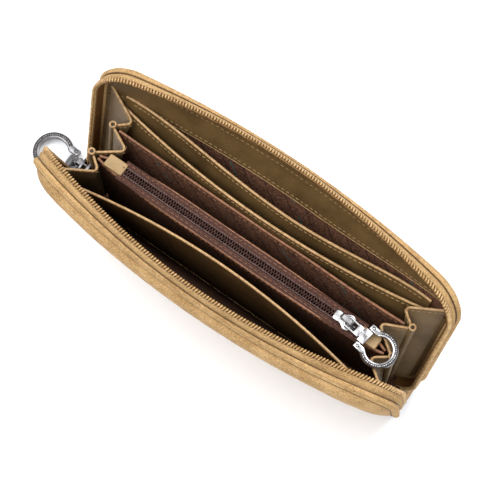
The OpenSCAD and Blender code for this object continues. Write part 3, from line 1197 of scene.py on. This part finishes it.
# --------------------------------------------------------------------------- the inside
@dataclass
class Spine:
    """The strip that joins the covers: board, lining and folded zip ends."""

    half: float = 92.0

    def make(self) -> None:
        """Build the spine."""
        lo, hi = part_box("spine_panel")
        rows = [[Vector((x, y, 0.6)) for x in spread(lo.x / MM + 7.0, hi.x / MM - 7.0, 60)]
                for y in (-8.6, 8.6)]
        top = [[p + Vector((0, 0, 0.95)) for p in row] for row in rows]
        base = Solid().slab(rows, top)
        Workshop.fit(base.build("spine_strip", Finish.SUEDE), "core", "tan_suede", "spine_panel")
        for name, finish, slot, node, z0, z1 in (
                ("spine_stiffener", Finish.BOARD, "board", "spine_board", 1.6, 2.35),
                ("spine_lining_sheet", Finish.CLOTH, "brown_jacquard", "spine_lining", 2.4, 3.0)):
            low = [[Vector((x, y, z0)) for x in spread(-self.half, self.half, 60)]
                   for y in spread(-6.8, 6.8, 6)]
            high = [[p + Vector((0, 0, z1 - z0)) for p in row] for row in low]
            piece = Workshop.fit(Solid().slab(low, high).build(name, finish), "core", slot, node)
            if finish is Finish.CLOTH:
                Workshop.cloth(piece, low, "laid", "spine_board")
        for side, node in ((-1, "zip_end_left"), (1, "zip_end_right")):
            self._zip_end(side, node)

    @staticmethod
    def _zip_end(side: int, node: str) -> None:
        """Folded tape over the gap between the covers at one end."""
        outer, inner = [], []
        for t in spread(-1, 1, 16):
            y = 9.4 * t
            z = 2.6 + 1.2 * (1 - t * t)
            x = 95.4 + 0.5 * (1 - t * t)
            outer.append([Vector((side * (x - k * 1.5), y, z + 3.4 - 3.4 * (k - 1) ** 2))
                          for k in spread(0, 1, 4)])
            inner.append([p - Vector((side * 0.9, 0, -0.2)) for p in outer[-1]])
        piece = Solid().slab(outer, inner).build(f"{node}_fold", Finish.TAN_TAPE)
        Workshop.fit(piece, "core", "tan_zip_tape", node)


@dataclass
class Upright:
    """A lined wall that stands on the spine: the divider or a wall of the zip pouch."""

    name: str
    node: str
    top: float
    y_low: float
    y_mid: float
    y_end: float
    thick: float = 0.8
    half: float = 78.0
    foot: float = 3.6
    wave: float = 0.0
    sway: str = ""

    def line(self, share: float, t: float) -> Vector:
        """A place on the wall.

        Args:
            share: how far up, from 0 to 1.
            t: how far along, from -1 to 1.

        Returns:
            The point on its front face.
        """
        mouth = lerp(self.y_mid, self.y_end, abs(t) ** 5)
        ripple = self.wave * noise.noise(Vector((t * 2.6, self.y_low, 0.3))) * share ** 2
        return Vector((self.half * t, lerp(self.y_low, mouth, share) + ripple,
                       lerp(self.foot, self.top, share) + ripple * 0.5))

    def make(self) -> None:
        """Build the wall and the folded hem along its top."""
        front = [[self.line(s, t) for t in spread(-1, 1, 70)] for s in spread(0, 1, 14)]
        back = [[p + Vector((0, self.thick, 0)) for p in row] for row in front]
        wall = Solid().slab(front, back).build(self.name + "_cloth", Finish.CLOTH)
        middle = Vector((0, self.thick / 2, -0.15))
        hem = [p + middle for p in front[-1]]
        fold = Solid().tube(hem, 0.62, 10).build(self.name + "_folded_hem", Finish.FOLD)
        seam = [self.line(0.965, t) + Vector((0, -0.04, 0)) for t in spread(-0.97, 0.97, 90)]
        thread = Solid().stitches(seam, *HEM_SEAM).build(self.name + "_stitching", Finish.FOLD)
        for piece, nodes in ((wall, (self.node,)), (fold, ()), (thread, ())):
            if self.sway:
                Workshop.join(piece, ("core", self.sway), Vector((0, -4, 40)), Vector((0, 26, 40)),
                              "brown_jacquard", *nodes)
            else:
                Workshop.fit(piece, "core", "brown_jacquard", *nodes)
        Workshop.cloth(wall, front, "hung", "spine_lining")


@dataclass
class PouchZip:
    """The zip across the pouch's mouth."""

    half: float = 66.0
    top: float = 66.0
    gap_y: tuple[float, float] = (-3.2, 0.4)
    reach: float = 3.2
    pitch: float = 1.35
    tab_over: float = 2.0
    tab_share: float = 0.78

    def make(self) -> None:
        """Build tapes, coils, end tabs and stitching."""
        front, rear = self.gap_y
        self._side("front", front, 1.0)
        self._side("rear", rear, -1.0)
        for side, node in ((-1, "pouch_tab_left"), (1, "pouch_tab_right")):
            self._tab(side, node)

    def _side(self, name: str, inner: float, sway: float) -> None:
        """One side of the zip: tape, coil and stitching.

        Args:
            name: which side.
            inner: Y of its inner edge.
            sway: 1 where the coil lies behind that edge, -1 where it lies before it.
        """
        outer = inner - sway * self.reach
        low = []
        for x in spread(-self.half, self.half, 66):
            dip = 0.5 * noise.noise(Vector((x * 0.05, outer, 0)))
            low.append([Vector((x, lerp(inner, outer, s), self.top - 0.4 + (0.15 - 0.5 * s + dip * s)))
                        for s in spread(0, 1, 4)])
        high = [[p + Vector((0, 0, 0.7)) for p in row] for row in low]
        tape = Solid().slab(high, low).build(f"pouch_tape_{name}_strip", Finish.BROWN_TAPE)
        Workshop.fit(tape, "core", "brown_zip_tape", f"pouch_tape_{name}")
        y, shift = inner + sway * 0.85, self.pitch * (0.25 + 0.25 * sway) + 0.3
        turn = Vector((0.22 * sway, 1.35, 0)), Vector((0.38, 0, 0)), Vector((0, 0, 0.72))
        coil = Solid()
        line = [Vector((end, y, 66.45)) for end in (-self.half, self.half)]
        for place, _ in resample(line, self.pitch)[:-1]:
            coil.bead(place + Vector((shift, 0, 0)), turn, 0.7, 8, 6)
        coil.tube([Vector((end, y - sway * 0.9, 66.4)) for end in (-self.half, self.half)], 0.45, 8)
        Workshop.fit(coil.build(f"pouch_coil_{name}_turns", Finish.BROWN_COIL, smooth=60), "core",
                     "brown_zip_coil", f"pouch_coil_{name}")
        seam = [Vector((x, inner - sway * 1.9, self.top + 0.33)) for x in spread(-self.half, self.half, 60)]
        thread = Solid().stitches(seam, *POUCH_SEAM)
        Workshop.fit(thread.build(f"pouch_tape_{name}_stitching", Finish.FOLD), "core", "brown_zip_tape")

    def _tab(self, side: int, node: str) -> None:
        """Leather tab over one end of the zip."""
        lo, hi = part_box(node)
        cx, cy = (lo.x + hi.x) / 2 / MM, (lo.y + hi.y) / 2 / MM
        half_x, half_y = (hi.x - lo.x) / 2 / MM, self.tab_share * (hi.y - lo.y) / 2 / MM
        cx, half_x = cx - side * self.tab_over / 2, half_x + self.tab_over / 2
        outline = softened(cx, cy, half_x, half_y, 0.9)
        crown = max(hi.z / MM, self.top + 1.6)
        tab = Solid().prism(outline, lo.z / MM, crown, 0.4).build(node + "_leather", Finish.TAB)
        Workshop.fit(tab, "core", "tan_suede", node)
        edge = cx - side * (half_x - 1.1)
        seam = [Vector((edge, cy + half_y * t, crown + 0.02)) for t in (-0.8, 0.8)]
        thread = Solid().stitches(seam, *TAB_SEAM)
        Workshop.fit(thread.build(node + "_stitching", Finish.THREAD), "core", "tan_suede")
        hole = Solid().bead(Vector((edge, cy + half_y * 0.3, crown)),
                            (Vector((0, 0, 0.1)), Vector((0.42, 0, 0)), Vector((0, 0.42, 0))), 0.8, 16, 4)
        Workshop.fit(hole.build(node + "_needle_hole", Finish.SEAM), "core", "tan_suede")


@dataclass
class Gusset:
    """One leather fold between a cover and the middle, with painted edge and stitching.

    Its bodies, start and end, which are measured square to a cover that leans by lean degrees, are passed on
    but do not bend it; facing is -1 on the front cover's side.
    """

    name: str
    node: str
    side: int
    low: tuple[Point2, Point2, Point2]
    high: tuple[Point2, Point2, Point2]
    top: tuple[float, float, float]
    bodies: tuple[str, str]
    start: float
    end: float
    facing: int = 1
    lean: float = 0.0
    foot: float = 7.0
    thick: float = 0.95

    def place(self, share: float, t: float) -> Vector:
        """A place on the fold's middle surface: share up, t along from 0 to 1."""
        low = [Vector((x, y, self.foot)) for x, y in self.low]
        high = [Vector((x, y, z)) for (x, y), z in zip(self.high, self.top)]
        line = rounded([a.lerp(b, share) for a, b in zip(low, high)], 3.2, 8)
        length = sum((b - a).length for a, b in zip(line, line[1:]))
        target = t * length
        for a, b in zip(line, line[1:]):
            step = (b - a).length
            if target <= step or b is line[-1]:
                here = a.lerp(b, min(1.0, target / step))
                break
            target -= step
        return Vector((self.side * here.x, here.y, here.z))

    def _across(self, way: Vector) -> Vector:
        """From the fold's middle surface to one face, square to a way along it."""
        return Vector((-way.y, way.x, 0)).normalized() * self.thick / 2

    def make(self) -> None:
        """Build the fold, its edge and its stitching."""
        outer, inner = [], []
        for share in spread(0, 1, 14):
            row = [self.place(share, t) for t in spread(0, 1, 18)]
            shifts = [self._across(heading(row, i)) for i in range(len(row))]
            outer.append([p + shift for p, shift in zip(row, shifts)])
            inner.append([p - shift for p, shift in zip(row, shifts)])
        fold = Solid().slab(outer, inner).build(self.name + "_leather", Finish.GUSSET)
        edge = Solid().tube([self.place(1, t) for t in spread(0, 1, 26)], 0.6, 10)
        edge = edge.build(self.name + "_painted_edge", Finish.EDGE)
        thread = Solid()
        for face in (1, -1):
            line = []
            for t in spread(0.03, 0.97, 40):
                way = self.place(0.97, min(1, t + 0.02)) - self.place(0.97, max(0, t - 0.02))
                line.append(self.place(0.97, t) + self._across(way) * face)
            thread.stitches(line, *GUSSET_SEAM)
        thread = thread.build(self.name + "_stitching", Finish.THREAD)
        lean = math.radians(self.lean)
        way = Vector((0, self.facing * math.cos(lean), -math.sin(lean)))
        for piece, nodes in ((fold, (self.node,)), (edge, ()), (thread, ())):
            Workshop.join(piece, self.bodies, way * self.start, way * self.end, "olive_leather", *nodes)
        Workshop.cloth(fold, outer, "folded", "spine_lining")


@dataclass
class GussetSet:
    """The three folds and two rolled loops at each end of the row."""

    loop_x: float = 80.0
    pouch_y: float = -2.6
    divider_y: float = 13.3

    def make(self) -> None:
        """Build both ends."""
        x = self.loop_x
        for side, word in ((-1, "left"), (1, "right")):
            Gusset(f"{word}_front_gusset", f"gusset_{word}_front", side,
                   ((90, -8.1), (86, -5.6), (x + 1.6, -3.2)),
                   ((90.5, -22.5), (74, -8.2), (x + 0.4, self.pouch_y - 0.9)), (76, 65.4, 65.6),
                   ("core", "front_cover"), start=-6.0, end=6.5, facing=-1, lean=FRONT_LEAN).make()
            Gusset(f"{word}_middle_gusset", f"gusset_{word}_middle", side,
                   ((x + 1.6, -1.9), (x + 0.4, 1.2), (x + 1.6, 4)),
                   ((x + 0.6, self.pouch_y + 0.9), (69, 6.6), (x + 0.6, self.divider_y - 0.8)), (66, 67, 66),
                   ("core", "rear_cover"), start=-4.0, end=34.0).make()
            Gusset(f"{word}_rear_gusset", f"gusset_{word}_rear", side,
                   ((x + 1.6, 5.4), (86, 6.6), (90, 8.3)),
                   ((x + 0.6, self.divider_y + 1), (74, 18.6), (90.5, 25.5)), (66, 69, 77),
                   ("core", "rear_cover"), start=-0.3, end=6.5, lean=REAR_LEAN).make()
            self._loop(f"{word}_front_loop", side, -2.55, self.pouch_y, 0.0)
            self._loop(f"{word}_rear_loop", side, 4.7, self.divider_y + 0.1, 1.0)

    def _loop(self, name: str, side: int, y_low: float, y_high: float, sway: float) -> None:
        """A rolled leather edge with a painted rim, open at the top, where a dark cap stands for painted
        shade inside it.
        """
        foot = Vector((side * (self.loop_x + 2.4), y_low, 7.5))
        head = Vector((side * (self.loop_x + 1.9), y_high, 67.2))
        line = [foot.lerp(head, t) for t in spread(0, 1, 24)]
        roll = Solid().tube(line, 1.75, 16).build(name + "_roll", Finish.GUSSET)
        rim = [head + Vector((math.cos(a) * 1.35, math.sin(a) * 1.35, 0.1))
               for a in (2 * math.pi * k / 20 for k in range(21))]
        bead = Solid().tube(rim, 0.5, 10).build(name + "_painted_rim", Finish.EDGE)
        # The dark cap in the open top is painted shade inside the hollow roll.
        mouth = Solid().bead(head, (Vector((0, 0, 0.2)), Vector((1.05, 0, 0)), Vector((0, 1.05, 0))),
                             0.8, 16, 4).build(name + "_core", Finish.HOLLOW_SHADE)
        for piece in (roll, bead, mouth):
            if sway:
                Workshop.join(piece, ("core", "rear_cover"), Vector((0, 4, 60)), Vector((0, 34, 60)),
                              "olive_leather")
            else:
                Workshop.fit(piece, "core", "olive_leather")


# --------------------------------------------------------------------------- the hardware
def placed(origin: Vector, *turns: tuple[float, str], scale: float = 1.0) -> Matrix:
    """A matrix from turns in degrees about named axes, applied first to last.

    Args:
        origin: where the local origin goes.
        turns: the turns.
        scale: size factor.

    Returns:
        The matrix.
    """
    made = Matrix.Scale(scale, 4)
    for angle, axis in turns:
        made = Matrix.Rotation(math.radians(angle), 4, axis) @ made
    return Matrix.Translation(origin) @ made


def softened(cx: float, cy: float, half_x: float, half_y: float, corner: float) -> list[Point2]:
    """Outline of a rectangle with rounded corners.

    Args:
        cx, cy: its centre.
        half_x, half_y: half its sides.
        corner: radius of its corners.

    Returns:
        The closed outline.
    """
    made = []
    for sx, sy, start in ((1, 1, 0), (-1, 1, 90), (-1, -1, 180), (1, -1, 270)):
        for a in spread(start, start + 90, 4):
            made.append((cx + sx * (half_x - corner) + corner * math.cos(math.radians(a)),
                         cy + sy * (half_y - corner) + corner * math.sin(math.radians(a))))
    return made


@dataclass
class Hardware:
    """Slider, link, pin and shackle of one zip, in the link's own frame.

    The frame's origin is the bail's axis; +X runs out along the pull, the hinges run along Y.
    """

    name: str
    bodies: tuple[str, str, str]
    slider_at: Matrix
    link_at: Matrix
    shackle_at: Matrix
    bridge_turn: float
    finish: Finish
    slot: str
    pin_x: float = 10.8
    ring_x: float = 19.0
    ring: Point2 = (6.0, 8.5)
    lug_y: float = 5.3

    def make(self) -> None:
        """Build all four pieces."""
        slider, link, shackle = self.bodies
        self._slider(slider)
        self._link(link)
        self._pin(shackle)
        self._shackle(shackle)

    def _finish(self, solid: Solid, label: str, at: Matrix, body: str, node: str | None,
                bevel: float = 0.0, finish: Finish | None = None) -> None:
        """Move, build and fit one piece."""
        piece = solid.moved(at).build(f"{self.name}_{label}", finish or self.finish, bevel, 32)
        Workshop.fit(piece, body, self.slot, *((node,) if node else ()))

    def _slider(self, body: str) -> None:
        """Winged top plate, lower plate, post and the bridge over the bail."""
        top = -1.5
        outline = [(-6.3, 2.1), (-4.6, 2.5), (-3.0, 2.2), (-1.8, 2.4), (-0.8, 3.2), (0.2, 3.8), (1.4, 3.9),
                   (2.6, 3.3), (3.3, 2.2), (3.5, 1.1)]
        outline += [(x, -y) for x, y in reversed(outline)]
        smooth = [(p.x, p.y) for p in rounded([Vector((x, y, 0)) for x, y in outline + outline[:1]], 0.9, 3)]
        self._finish(Solid().prism(smooth[:-1], top - 1.2, top), "slider_body", self.slider_at, body,
                     f"{self.name}_slider", 0.3)
        under = Solid().prism(softened(-0.3, 0, 4.7, 2.6, 0.8), top - 4.4, top - 3.2)
        under.prism(softened(3, 0, 1.5, 0.2, 0.05), top - 3.3, top - 1.1)
        self._finish(under, "slider_keel", self.slider_at, body, None, 0.15)
        swing = self.slider_at @ Matrix.Rotation(math.radians(self.bridge_turn), 4, "Z")
        rising = [Vector((-3.1, 0, top - 0.3)), Vector((-3.1, 0, 0.5)), Vector((-2.2, 0, 1.42))]
        arch = rounded(rising + [Vector((-p.x, 0, p.z)) for p in reversed(rising)], 0.9, 4)
        bridge = Solid().strap(arch, Vector((0, 1, 0)), 1.15, 0.36)
        self._finish(bridge, "slider_bridge", swing, body, None)

    def _link(self, body: str) -> None:
        """Bail, side rods and the two polished blocks."""
        rods = [Vector((6.0, 2.1, 0)), Vector((0.9, 2.3, 0)), Vector((0, 1.9, 0))]
        rods += [Vector((p.x, -p.y, 0)) for p in reversed(rods)]
        frame_bar = Solid().tube(rounded(rods, 0.9, 5), 0.56, 14)
        self._finish(frame_bar, "pull_frame", self.link_at, body, f"{self.name}_pull")
        blocks = Solid().prism(softened(6.95, 0, 1.35, 2.6, 0.2), -1.25, 1.25)
        blocks.prism(softened(8.5, 0, 0.6, 1.6, 0.2), -0.8, 0.8)
        blocks.prism(softened(10.6, 0, 1.8, 3.4, 0.2), -1.35, 1.35)
        self._finish(blocks, "pull_blocks", self.link_at, body, None, 0.18)
        mark = Solid()
        for turn in range(4):
            a = math.radians(45 + 90 * turn)
            way = Vector((math.cos(a), math.sin(a), 0))
            mark.bead(Vector((10.55, 0, 1.37)) + way * 0.62,
                      (Vector((0, 0, 0.04)), way * 0.42, Vector((-way.y, way.x, 0)) * 0.2), 1.0, 8, 2)
        self._finish(mark, "block_chasing", self.link_at, body, None, finish=Finish.ENGRAVED)

    def _pin(self, body: str) -> None:
        """Cross pin with domed ends."""
        solid = Solid()
        line = [Vector((self.pin_x, y, 0)) for y in (-6.55, -6.4, -6.1, 6.1, 6.4, 6.55)]
        solid.tube(line, lambda t: 0.72 if 0.1 < t < 0.9 else 0.5, 16)
        self._finish(solid, "pin_rod", self.shackle_at, body, f"{self.name}_cross_pin")

    def _shackle(self, body: str) -> None:
        """Horseshoe with square lugs and a chased channel round its face."""
        inner, outer = self.ring
        centre = Vector((self.ring_x, 0, 0))

        def arc(radius: float, z: float, reach: float, steps: int) -> list[Vector]:
            """A line round the horseshoe from one lug to the other."""
            return [centre + Vector((radius * math.cos(a), radius * math.sin(a), z))
                    for a in spread(-reach, reach, steps)]
        opening = math.radians(137)
        profile = [(inner + 0.12, -1.05), (inner + 0.45, -1.25), (outer - 0.35, -1.25), (outer, -0.9)]
        profile += [(radius, -z) for radius, z in reversed(profile)]
        lines = [arc(r, z, opening, 96) for r, z in profile]
        hoop = Solid().grid([list(ring) for ring in zip(*lines)], ring=True, caps=True)
        self._finish(hoop, "horseshoe", self.shackle_at, body, f"{self.name}_shackle")
        lugs, pads = Solid(), Solid()
        for y in (-self.lug_y, self.lug_y):
            lugs.prism(softened(self.pin_x + 1.1, y, 2.3, 1.3, 0.25), -1.3, 1.3)
            for low in (-1.34, 1.28):
                pads.prism(softened(self.pin_x + 0.4, y, 0.85, 0.85, 0.8), low, low + 0.06)
        self._finish(lugs, "shackle_lugs", self.shackle_at, body, None, 0.28)
        self._finish(pads, "lug_recess", self.shackle_at, body, None, finish=Finish.ENGRAVED)
        middle = (inner + outer) / 2 + 0.22
        channel = Solid()
        for face in (-1, 1):
            channel.strap(arc(middle, 1.25 * face, math.radians(128), 90), Vector((0, 0, 1)), 0.05, 0.72)
        self._finish(channel, "shackle_channel", self.shackle_at, body, None, finish=Finish.ENGRAVED)
        marks = Solid()
        for k, a in enumerate(spread(-124, 124, 34)):
            out = Vector((math.cos(math.radians(a)), math.sin(math.radians(a)), 0))
            way = Vector((-out.y, out.x, 0))
            size = 0.34 if k % 3 else 0.16
            for face in (-1, 1):
                marks.bead(centre + Vector((0, 0, 1.29 * face)) + out * middle,
                           (Vector((0, 0, 0.1)), way * size, out * 0.34), 1.0, 8, 3)
        for y in (-self.lug_y, self.lug_y):
            for face in (-1, 1):
                marks.bead(Vector((self.pin_x + 0.4, y, 1.34 * face)),
                           (Vector((0, 0, 0.12)), Vector((0.5, 0, 0)), Vector((0, 0.5, 0))), 1.0, 10, 4)
        self._finish(marks, "shackle_chasing", self.shackle_at, body, None)


# --------------------------------------------------------------------------- the studio
@dataclass(frozen=True)
class Studio:
    """Floor, soft lights and camera."""

    target: Vector = Vector((0.5, 5.3, 50.0))
    azimuth: float = 34.5
    elevation: float = 72.8
    roll: float = 1.0
    distance: float = 708.0
    lens: float = 111.96

    def make(self) -> None:
        """Build the studio."""
        self._floor()
        self._lamp("key_softbox", (-420, -160, 900), 620, 7.0)
        self._lamp("fill_softbox", (520, -420, 760), 620, 3.4)
        self._lamp("rim_softbox", (160, 620, 640), 520, 5.0)
        self._sky()
        self._camera()

    @staticmethod
    def _floor() -> None:
        """Pale floor just under the wallet."""
        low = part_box("spine_panel")[0].z / MM - 0.4
        rows = [[Vector((x, y, low)) for x in spread(-1600, 1600, 8)] for y in spread(-1600, 1600, 8)]
        Solid().grid(rows).build("studio_floor", Finish.FLOOR)

    def _lamp(self, name: str, place: tuple[float, float, float], size: float, power: float) -> None:
        """Square soft light aimed at the wallet; place and size in millimetres, power in watts."""
        data = bpy.data.lights.new(name, "AREA")
        data.size = size * MM
        data.energy = power
        lamp = bpy.data.objects.new(name, data)
        bpy.context.scene.collection.objects.link(lamp)
        lamp.location = Vector(place) * MM
        lamp.rotation_euler = (Vector(place) - self.target).to_track_quat("Z", "Y").to_euler()

    @staticmethod
    def _sky() -> None:
        """Even pale surroundings."""
        world = bpy.data.worlds.new("studio_surroundings")
        bpy.context.scene.world = world
        world.use_nodes = True
        nodes, links = world.node_tree.nodes, world.node_tree.links
        parts = nodes.new("ShaderNodeSeparateXYZ")
        ramp = nodes.new("ShaderNodeValToRGB")
        links.new(nodes.new("ShaderNodeTexCoord").outputs["Generated"], parts.inputs[0])
        links.new(parts.outputs["Z"], ramp.inputs[0])
        links.new(ramp.outputs[0], nodes["Background"].inputs["Color"])
        ramp.color_ramp.elements[0].position, ramp.color_ramp.elements[1].position = 0.1, 0.85
        ramp.color_ramp.elements[0].color = (0.16, 0.155, 0.15, 1.0)
        nodes["Background"].inputs["Strength"].default_value = 0.95
        bpy.context.scene.view_settings.view_transform = "Standard"

    def _camera(self) -> None:
        """Camera above the front right, level but for a slight roll."""
        a, e, r = (math.radians(v) for v in (self.azimuth, self.elevation, self.roll))
        back = Vector((math.sin(a) * math.cos(e), -math.cos(a) * math.cos(e), math.sin(e)))
        right = Vector((0, 0, 1)).cross(back).normalized()
        up = back.cross(right)
        across = right * math.cos(r) + up * math.sin(r)
        data = bpy.data.cameras.new("studio_camera")
        data.lens = self.lens
        camera = bpy.data.objects.new("studio_camera", data)
        bpy.context.scene.collection.objects.link(camera)
        turn = Matrix((across, back.cross(across), back)).transposed()
        camera.matrix_world = Matrix.Translation((self.target + back * self.distance) * MM) @ turn.to_4x4()
        bpy.context.scene.camera = camera


# --------------------------------------------------------------------------- assembly
def covers() -> list[Cover]:
    """The two covers with their pockets."""
    front = Cover(CoverShape(Side.FRONT, FRONT_LEAN, 12.0), "front_cover", "front", pad=6.4, pockets=(
        Pocket("front_slip", "front_slip_pocket", 71, 15.2, 3.4, thick=1.1),))
    rear = Cover(CoverShape(Side.REAR, REAR_LEAN, 9.5), "rear_cover", "rear", pad=1.2, pockets=(
        Pocket("rear_upper", "rear_pocket_upper", 76, 10.8, 3.4, skew=8, power=1.8),
        Pocket("rear_lower", "rear_pocket_lower", 70, 13.6, 4.8)))
    return [front, rear]


def walls() -> list[Upright]:
    """The divider and the pouch's two walls."""
    return [Upright("divider", "divider", 66, 3.6, 12.1, 12.7, sway="rear_cover", wave=0.4),
            Upright("pouch_front", "pouch_front_wall", 65.4, -2.4, -6.8, -3.6, wave=0.3),
            Upright("pouch_rear", "pouch_rear_wall", 65.4, 0.2, 3.4, -2.2, wave=0.3)]


def hardware() -> list[Hardware]:
    """The inner and the main zip's metal parts."""
    inner_at = Vector((57, -1.4, 70.05))
    main_at = Vector((-99.2, 2, 13.9))
    inner_link = placed(inner_at, (-9, "Z"))
    droop = 55.0
    main_link = placed(main_at, (180, "Z"), (-droop, "Y"), scale=1.2)
    pin = Vector((10.8, 0, 0))
    level = (Matrix.Translation(pin) @ Matrix.Rotation(math.radians(-droop), 4, "Y") @
             Matrix.Translation(-pin))
    return [Hardware("inner", ("inner_slider", "inner_pull", "inner_shackle"), placed(inner_at),
                     inner_link, inner_link, -9.0, Finish.STEEL, "polished_metal"),
            Hardware("main", ("main_slider", "main_pull", "main_shackle"),
                     placed(main_at, (-90, "Y"), scale=1.2), main_link, main_link @ level, 0.0,
                     Finish.GUNMETAL, "gunmetal")]


def main() -> None:
    """Build the wallet and its studio."""
    logging.basicConfig(level=logging.INFO, format="%(name)s: %(message)s")
    for part in (*covers(), Spine(), *walls(), PouchZip(), GussetSet(), *hardware(), Studio()):
        LOG.info("making %s", type(part).__name__)
        part.make()


if __name__ == "__main__":
    main()
